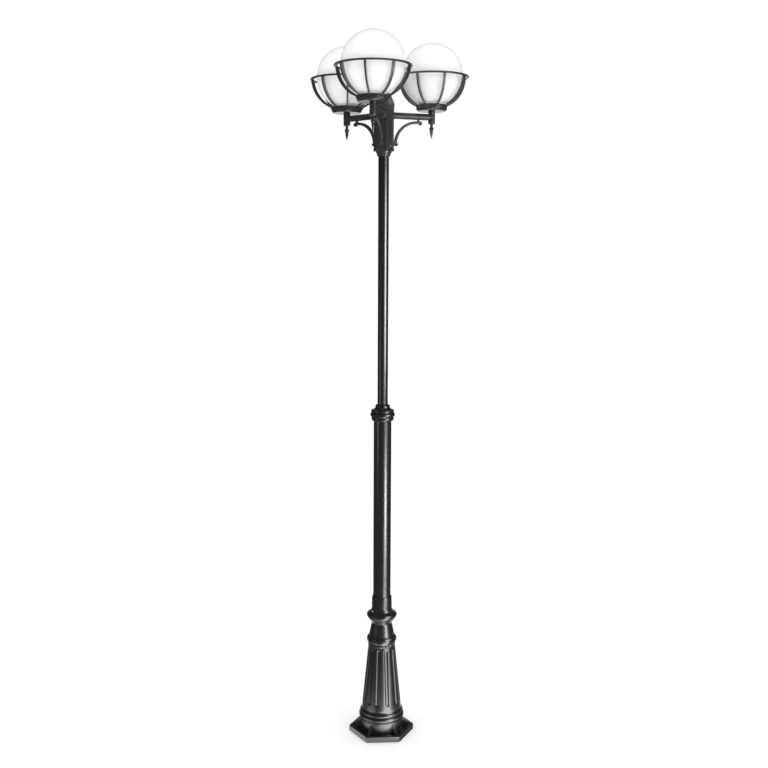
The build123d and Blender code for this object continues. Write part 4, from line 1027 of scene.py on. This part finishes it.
def rimOutline():
    r, inner, cut = rim["radius"], rim["radius"] - rim["wide"], rim["chamfer"]
    return softened(outline(
        (inner + cut, rimFoot), (r - cut, rimFoot), (r, rimFoot + cut), (r, rimTop - cut),
        (r - cut, rimTop), (inner + cut, rimTop), (inner, rimTop - cut), (inner, rimFoot + cut),
        (inner + cut, rimFoot)), soft=0.35, step=6.0, turn=12.0, closed=True)


def bowed(start, end, radius):
    # middle of the arc of that radius from start to end, on the side away from the axis
    start, end = np.array(start), np.array(end)
    chord = end - start
    half = np.linalg.norm(chord) / 2.0
    sag = radius - math.sqrt(radius ** 2 - half ** 2)
    aside = np.array([chord[1], -chord[0]]) / (2.0 * half)
    return tuple((start + end) / 2.0 + aside * sag)


def ribPart():
    # inner line: up the cup, then an arc to the rim; outer line: an arc from a short tail
    # to the rim; each ring spans the two lines at the same share of their lengths
    r = rib
    wall = cup["radius"] + r["seat"]
    thick, tailDrop, footDrop = r["tail"]
    low = cupTop - tailDrop
    topLevel = rimFoot + rim["high"] / 2.0
    innerFoot, innerTop = (wall, cupTop + r["footRise"]), (r["top"] - r["topDeep"], rimFoot)
    outerFoot, outerTop = (wall + thick, cupTop - footDrop), (r["top"], rimFoot)
    inner = outline((wall, low), innerFoot, (*bowed(innerFoot, innerTop, r["innerArc"]), *innerTop),
                    (innerTop[0] + r["tuck"], topLevel))
    outer = outline((wall + thick, low), outerFoot, (*bowed(outerFoot, outerTop, r["outerArc"]), *outerTop),
                    (r["top"], topLevel))
    lines = []
    for line in (inner, outer):
        smoothed = softened(line, soft=0.9, step=0.8, turn=30.0)
        run = np.concatenate([[0.0], np.cumsum(np.linalg.norm(np.diff(smoothed, axis=0), axis=1))])
        at = np.linspace(0.0, run[-1], r["rows"])
        lines.append(np.stack([np.interp(at, run, smoothed[:, k]) for k in range(2)], 1))
    middle = (lines[0] + lines[1]) / 2.0
    out = lines[1] - lines[0]
    depth = np.linalg.norm(out, axis=1)
    out /= depth[:, None]
    rise = (middle[:, 1] - low) / (topLevel - low)
    halfWide = (r["footWide"] + (r["topWide"] - r["footWide"]) * rise) / 2.0
    wide, deep = section(halfWide, depth / 2.0, 1.0)
    x = middle[:, :1] + deep * out[:, :1]
    z = middle[:, 1:] + deep * out[:, 1:]
    grid = np.stack([x, wide, z], -1)
    ends = [np.repeat(grid[end].mean(1)[:, None], wide.shape[1], 1) for end in ([0], [-1])]
    return closedGrid(np.concatenate([ends[0], grid, ends[1]]), poles=True)


def basketPart():
    ribs = [spun(ribPart(), tau / rib["count"] * k) for k in range(rib["count"])]
    return joined([turned(rimOutline(), 256, closed=True), *ribs])


def globeOutline():
    b = ball
    inner, wall = b["radius"] - b["wall"], b["wall"]
    neckIn = b["neck"] - wall
    join = ballLevel - math.sqrt(b["radius"] ** 2 - b["neck"] ** 2)
    joinIn = ballLevel - math.sqrt(inner ** 2 - neckIn ** 2)
    foot = cupFloor + b["lift"]
    lip, lipHigh = b["lip"]
    line = outline(
        (0.0, ballLevel + b["radius"]), (b["radius"], ballLevel, b["neck"], join),
        (b["neck"], foot + lipHigh + lip), (b["neck"] + lip, foot + lipHigh), (b["neck"] + lip, foot),
        (neckIn, foot), (neckIn, joinIn), (inner, ballLevel, 0.0, ballLevel + inner))
    return softened(line, soft=0.3, step=20.0, turn=2.4)


def holderOutline():
    h = holder
    foot = cupFloor + h["lift"]
    top = foot + h["high"]
    step = foot + h["foot"][1]
    half = foot + h["foot"][1] / 2.0
    groove, *levels = h["groove"]
    lows = [step + level for level in levels]
    r = h["radius"]
    return softened(outline(
        (0.0, foot + h["blind"]), (h["hole"], foot + h["blind"]), (h["hole"], foot), (h["foot"][0], foot),
        (h["foot"][0], half), cove((h["foot"][0], half), (r, step)), (r, lows[0]),
        (r - groove, lows[1]), (r - groove, lows[2]), (r, lows[3]),
        (r, top), (h["mouth"], top), (h["mouth"], top - h["seat"]), (0.0, top - h["seat"])),
        soft=0.4, step=8.0, turn=10.0)


bulbSeat = cupFloor + holder["lift"] + holder["high"] - holder["seat"]


def bulbCapOutline():
    radius, long, wall, taper = lamp["cap"]
    contact, rise = lamp["contact"]
    shell = bulbSeat + rise
    return softened(outline(
        (0.0, bulbSeat), (contact, bulbSeat), (contact, shell), (radius, shell + taper),
        (radius, bulbSeat + long), (radius - wall, bulbSeat + long), (radius - wall, shell + taper),
        (0.0, shell + taper)), soft=0.25, step=0.6, turn=14.0)


def bulbOutline():
    # pear: neck, hollow shoulder and ball outside, and the same line a wall's width inside
    radius, long, wall = lamp["cap"][:3]
    low = bulbSeat + long
    ballAt = low + lamp["long"] - lamp["radius"]
    join = math.radians(lamp["neckAngle"])

    def side(deep):
        r = lamp["radius"] - deep
        neck = (radius - deep, low)
        knee = (r * math.cos(join), ballAt - r * math.sin(join))
        bend = ((neck[0] + knee[0]) / 2.0 - lamp["hollow"], (neck[1] + knee[1]) / 2.0 + lamp["hollow"])
        over = (r * math.cos(join / 2.0), ballAt + r * math.sin(join / 2.0))
        return outline(neck, (*bend, *knee), (*over, 0.0, ballAt + r))
    line = np.vstack([side(0.0)[::-1], side(wall)])
    return softened(line, soft=0.4, step=6.0, turn=4.0)


threadFoot, threadTop = (bulbSeat + rise for rise in lamp["threadEnds"])
inShell = lamp["cap"][0] - lamp["cap"][2] / 2.0
capThread = threaded(lamp["pitch"], lamp["thread"], threadFoot, threadTop, inShell)
cupScrew = capScrew(*cup["screw"], dome=cup["screwDome"])

# What each piece is, its finish, the end of its node's name, its slot, and whether it was
# made about the head's own axis
headParts = {
    "Arm": (armPart(), "armPaint", "arm", "tube_paint", False),
    "ScrollBracket": (scrollPart(), "headPaint", "scroll_bracket", "cast_paint", False),
    "Stem": (turned(stemOutline(), 64), "headPaint", "stem", "cast_paint", True),
    "DropFinial": (turned(dropOutline(), 56), "headPaint", "drop_finial", "cast_paint", True),
    "Cup": (turned(cupOutline(), 160, closed=True), "headPaint", "globe_cup", "cast_paint", True),
    "CupScrews": (screwRing(cupScrew, stemTop + cup["screwLevel"], cup["screwAngle"]),
                  "screwPaint", "cup_screws", "screw_paint", True),
    "Basket": (basketPart(), "headPaint", "basket", "cast_paint", True),
    "Lampholder": (turned(holderOutline(), 80), "holderCeramic", "lampholder", "holder_ceramic", True),
    "Globe": (turned(globeOutline(), 192), "opalGlobe", "globe", "opal_globe", True),
    "BulbCap": (turned(bulbCapOutline(), 72, shape=capThread), "bulbMetal", "bulb_cap", "bulb_metal", True),
    "BulbGlass": (turned(bulbOutline(), 96), "bulbOpal", "bulb_glass", "bulb_opal", True),
}
bodyOf = {"globe": "globe_body", "bulb_cap": "bulb_body", "bulb_glass": "bulb_body"}
for side in sides:
    for name, (part, look, node, slot, onHeadAxis) in headParts.items():
        placed = spun(moved(part, x=heads["reach"]) if onHeadAxis else part, headAngle(side))
        body = f"{side}_{bodyOf[node]}" if node in bodyOf else "post"
        put(side + name, placed, look, f"{side}_{node}", body)
    print(side, "head made")

# CAD nodes that stay as they are, with their finishes
carriedOver = {"connector_block": "terminalPlastic"}
for side in sides:
    carriedOver.update({f"{side}_gasket": "gasketRubber", f"{side}_nipple": "platedSteel",
                        f"{side}_holder_nut": "platedSteel"})
for node, look in carriedOver.items():
    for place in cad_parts[node].material_slots:
        place.material = finishes[look]
print("CAD nodes finished:", len(carriedOver))

# Floor and world: white to the camera from every side. Glossy and transmission rays see the
# backdrop white within a wedge behind the post, the floor's paper within the same wedge and
# within patches, and the rest of the studio dark. To all other light the world is one plain
# level. A wedge is a direction and its half angle, in degrees. A patch is the place that it
# fans out from, its wedge, the lengths between which it fades out, and its whiteness.
stage = {"floorSize": 60.0, "floorColour": 0.93, "floorGlow": 0.12, "floorDark": 0.03,
         "worldLight": 1.0, "studioDark": 0.015, "backdrop": (86.6, 18.0), "softEdge": 0.25,
         "patches": [((0.0, 0.0, 0.0), (86.6, 46.0), (0.8, 1.5), 0.8),
                     ((-0.153, 0.026, 0.0), (-47.0, 17.0), (1.5, 2.4), 1.0),
                     ((0.0, 0.0, 0.0), (-150.0, 22.0), (0.35, 0.6), 0.8),
                     ((0.0, 0.0, 0.0), (-90.0, 140.0), (0.3, 0.5), 0.12)]}
white = (1.0, 1.0, 1.0)


def levelWay(degrees):
    return math.cos(math.radians(degrees)), math.sin(math.radians(degrees)), 0.0


def rayKinds(tree):
    # 1 for camera rays, and 1 for glossy or transmission rays
    path = tree.nodes.new("ShaderNodeLightPath").outputs
    return path["Is Camera Ray"], maths(tree, "MAXIMUM", path["Is Glossy Ray"], path["Is Transmission Ray"])


def vectorMaths(tree, kind, *vectors):
    return wired(tree, "VectorMath", dict(enumerate(vectors)), operation=kind).outputs


def wedge(tree, vector, middle, half):
    # 1 where the vector lies within half degrees of a level direction, and 0 well outside
    unit = vectorMaths(tree, "NORMALIZE", vector)["Vector"]
    dot = vectorMaths(tree, "DOT_PRODUCT", unit, levelWay(middle))["Value"]
    outer, inner = (math.cos(math.radians(half * (1.0 + side * stage["softEdge"]))) for side in (1, -1))
    return ranged(tree, dot, outer, inner, kind="SMOOTHSTEP")


def within(tree, vector, near, far):
    # 1 where the vector is shorter than near, and 0 where it is longer than far
    return ranged(tree, vectorMaths(tree, "LENGTH", vector)["Value"], far, near, kind="SMOOTHSTEP")


def makeFloor():
    half = stage["floorSize"] / 2.0
    mesh = bpy.data.meshes.new("floor")
    corners = [(-half, -half, 0.0), (half, -half, 0.0), (half, half, 0.0), (-half, half, 0.0)]
    mesh.from_pydata(corners, [], [(0, 1, 2, 3)])
    floor = bpy.data.objects.new("floor", mesh)
    bpy.context.scene.collection.objects.link(floor)
    material = bpy.data.materials.new("floorWhite")
    material.use_nodes = True
    tree = material.node_tree
    shader = tree.nodes["Principled BSDF"].inputs
    shader["Roughness"].default_value = 1.0
    shader["Specular IOR Level"].default_value = 0.0
    shader["Emission Color"].default_value = plainOrColour(white)
    seen, mirrored = rayKinds(tree)
    place = tree.nodes.new("ShaderNodeTexCoord").outputs["Object"]
    paper = wedge(tree, place, *stage["backdrop"])
    for apex, fan, ends, share in stage["patches"]:
        away = vectorMaths(tree, "SUBTRACT", place, apex)["Vector"]
        patch = maths(tree, "MULTIPLY", wedge(tree, away, *fan), within(tree, away, *ends))
        paper = maths(tree, "MAXIMUM", paper, maths(tree, "MULTIPLY", patch, share))
    dark = maths(tree, "MULTIPLY", mirrored, maths(tree, "SUBTRACT", 1.0, paper))
    shades = [plainOrColour((stage[key],) * 3) for key in ("floorColour", "floorDark")]
    tree.links.new(mixed(tree, dark, *shades), shader["Base Color"])
    glow = maths(tree, "MAXIMUM", seen, maths(tree, "MULTIPLY", mirrored, paper))
    tree.links.new(maths(tree, "MULTIPLY", glow, stage["floorGlow"]), shader["Emission Strength"])
    mesh.materials.append(material)


def makeWorld():
    # one level for each kind of ray: white if seen, the backdrop if mirrored, or else plain
    world = bpy.data.worlds.new("studio")
    bpy.context.scene.world = world
    world.use_nodes = True
    tree = world.node_tree
    background = tree.nodes["Background"].inputs
    background["Color"].default_value = plainOrColour(white)
    seen, mirrored = rayKinds(tree)
    way = tree.nodes.new("ShaderNodeTexCoord").outputs["Generated"]
    backdrop = ranged(tree, wedge(tree, way, *stage["backdrop"]), 0.0, 1.0, stage["studioDark"], 1.0)
    level = ranged(tree, mirrored, 0.0, 1.0, stage["worldLight"], backdrop)
    tree.links.new(ranged(tree, seen, 0.0, 1.0, level, 1.0), background["Strength"])


# Lamps: a mirrored one shows in the gloss and leaves the plain level of the other light
# alone, and a plain one does the opposite. Places and sizes are in metres, powers in watts
softBoxes = {
    "upperSoftBox": {"place": (1.635, -1.472, 1.5), "aim": (0.0, 0.0, 1.5), "size": (1.05, 0.95),
                     "power": 18.0, "tint": (1.0, 0.975, 0.95), "mirrored": True},
    "lowerSoftBox": {"place": (1.414, -1.685, 0.23), "aim": (0.0, 0.0, 0.23), "size": (0.9, 0.42),
                     "power": 9.0, "tint": (1.0, 0.975, 0.95), "mirrored": True},
    "sideSoftBox": {"place": (-2.9, -1.4, 0.75), "aim": (0.0, 0.0, 0.75), "size": (0.7, 0.8),
                    "power": 1.5, "tint": (1.0, 0.95, 0.9), "mirrored": True},
    "topSoftBox": {"place": (1.6, -2.2, 3.4), "aim": (0.0, 0.0, 1.8), "size": (1.6, 1.6),
                   "power": 12.0, "tint": (1.0, 0.985, 0.97), "mirrored": False},
    "footSoftBox": {"place": (-0.3, -2.3, 0.3), "aim": (0.0, 0.0, 2.25), "size": (1.6, 1.6),
                    "power": 14.0, "tint": white, "mirrored": False},
}
strip = {"degrees": -63.0, "start": 0.14, "end": 1.3, "wide": 0.28, "power": 2.2, "lift": 0.003}


def areaLamp(name, size, power, tint, mirrored):
    lamp = bpy.data.lights.new(name, "AREA")
    lamp.shape = "RECTANGLE"
    lamp.size, lamp.size_y = size
    lamp.energy = power
    lamp.color = tint
    box = bpy.data.objects.new(name, lamp)
    box.visible_camera = False
    box.visible_diffuse = not mirrored
    box.visible_glossy = mirrored
    bpy.context.scene.collection.objects.link(box)
    return box


def softBox(name, place, aim, size, power, tint, mirrored):
    box = areaLamp(name, size, power, tint, mirrored)
    turn = (Vector(aim) - Vector(place)).normalized().to_track_quat("-Z", "Y")
    box.matrix_world = Matrix.Translation(place) @ turn.to_matrix().to_4x4()


def floorStrip(degrees, start, end, wide, power, lift):
    # it lies on the floor, from start to end metres along a level direction, and faces up
    box = areaLamp("floorStrip", (wide, end - start), power, white, True)
    ahead = Vector(levelWay(degrees))
    down = Vector((0.0, 0.0, -1.0))
    turn = Matrix((ahead.cross(down), ahead, down)).transposed().to_4x4()
    box.matrix_world = Matrix.Translation(ahead * (start + end) / 2.0 - down * lift) @ turn


makeFloor()
makeWorld()
for name, values in softBoxes.items():
    softBox(name, **values)
floorStrip(**strip)

# Camera: solved from the photograph; heading, pitch and roll are in radians, the place in
# metres, and the lens and the sensor in millimetres
view = {"place": (-0.197, -3.312, 1.686), "heading": 0.0607, "pitch": 0.1379, "roll": 0.0044,
        "lens": 46.875, "sensor": 36.0}


def makeCamera():
    heading, pitch, roll = (view[key] for key in ("heading", "pitch", "roll"))
    level = math.cos(pitch)
    ahead = Vector((math.sin(heading) * level, math.cos(heading) * level, -math.sin(pitch)))
    side = Vector((math.cos(heading), -math.sin(heading), 0.0))
    upright = side.cross(ahead)
    right = side * math.cos(roll) + upright * math.sin(roll)
    above = upright * math.cos(roll) - side * math.sin(roll)
    lens = bpy.data.cameras.new("camera")
    lens.lens = view["lens"]
    lens.sensor_width = view["sensor"]
    camera = bpy.data.objects.new("camera", lens)
    bpy.context.scene.collection.objects.link(camera)
    turn = Matrix((right, above, -ahead)).transposed()
    camera.matrix_world = Matrix.Translation(view["place"]) @ turn.to_4x4()
    bpy.context.scene.camera = camera


makeCamera()
bpy.context.scene.view_settings.view_transform = "Standard"
print("stage, lamps and camera made")
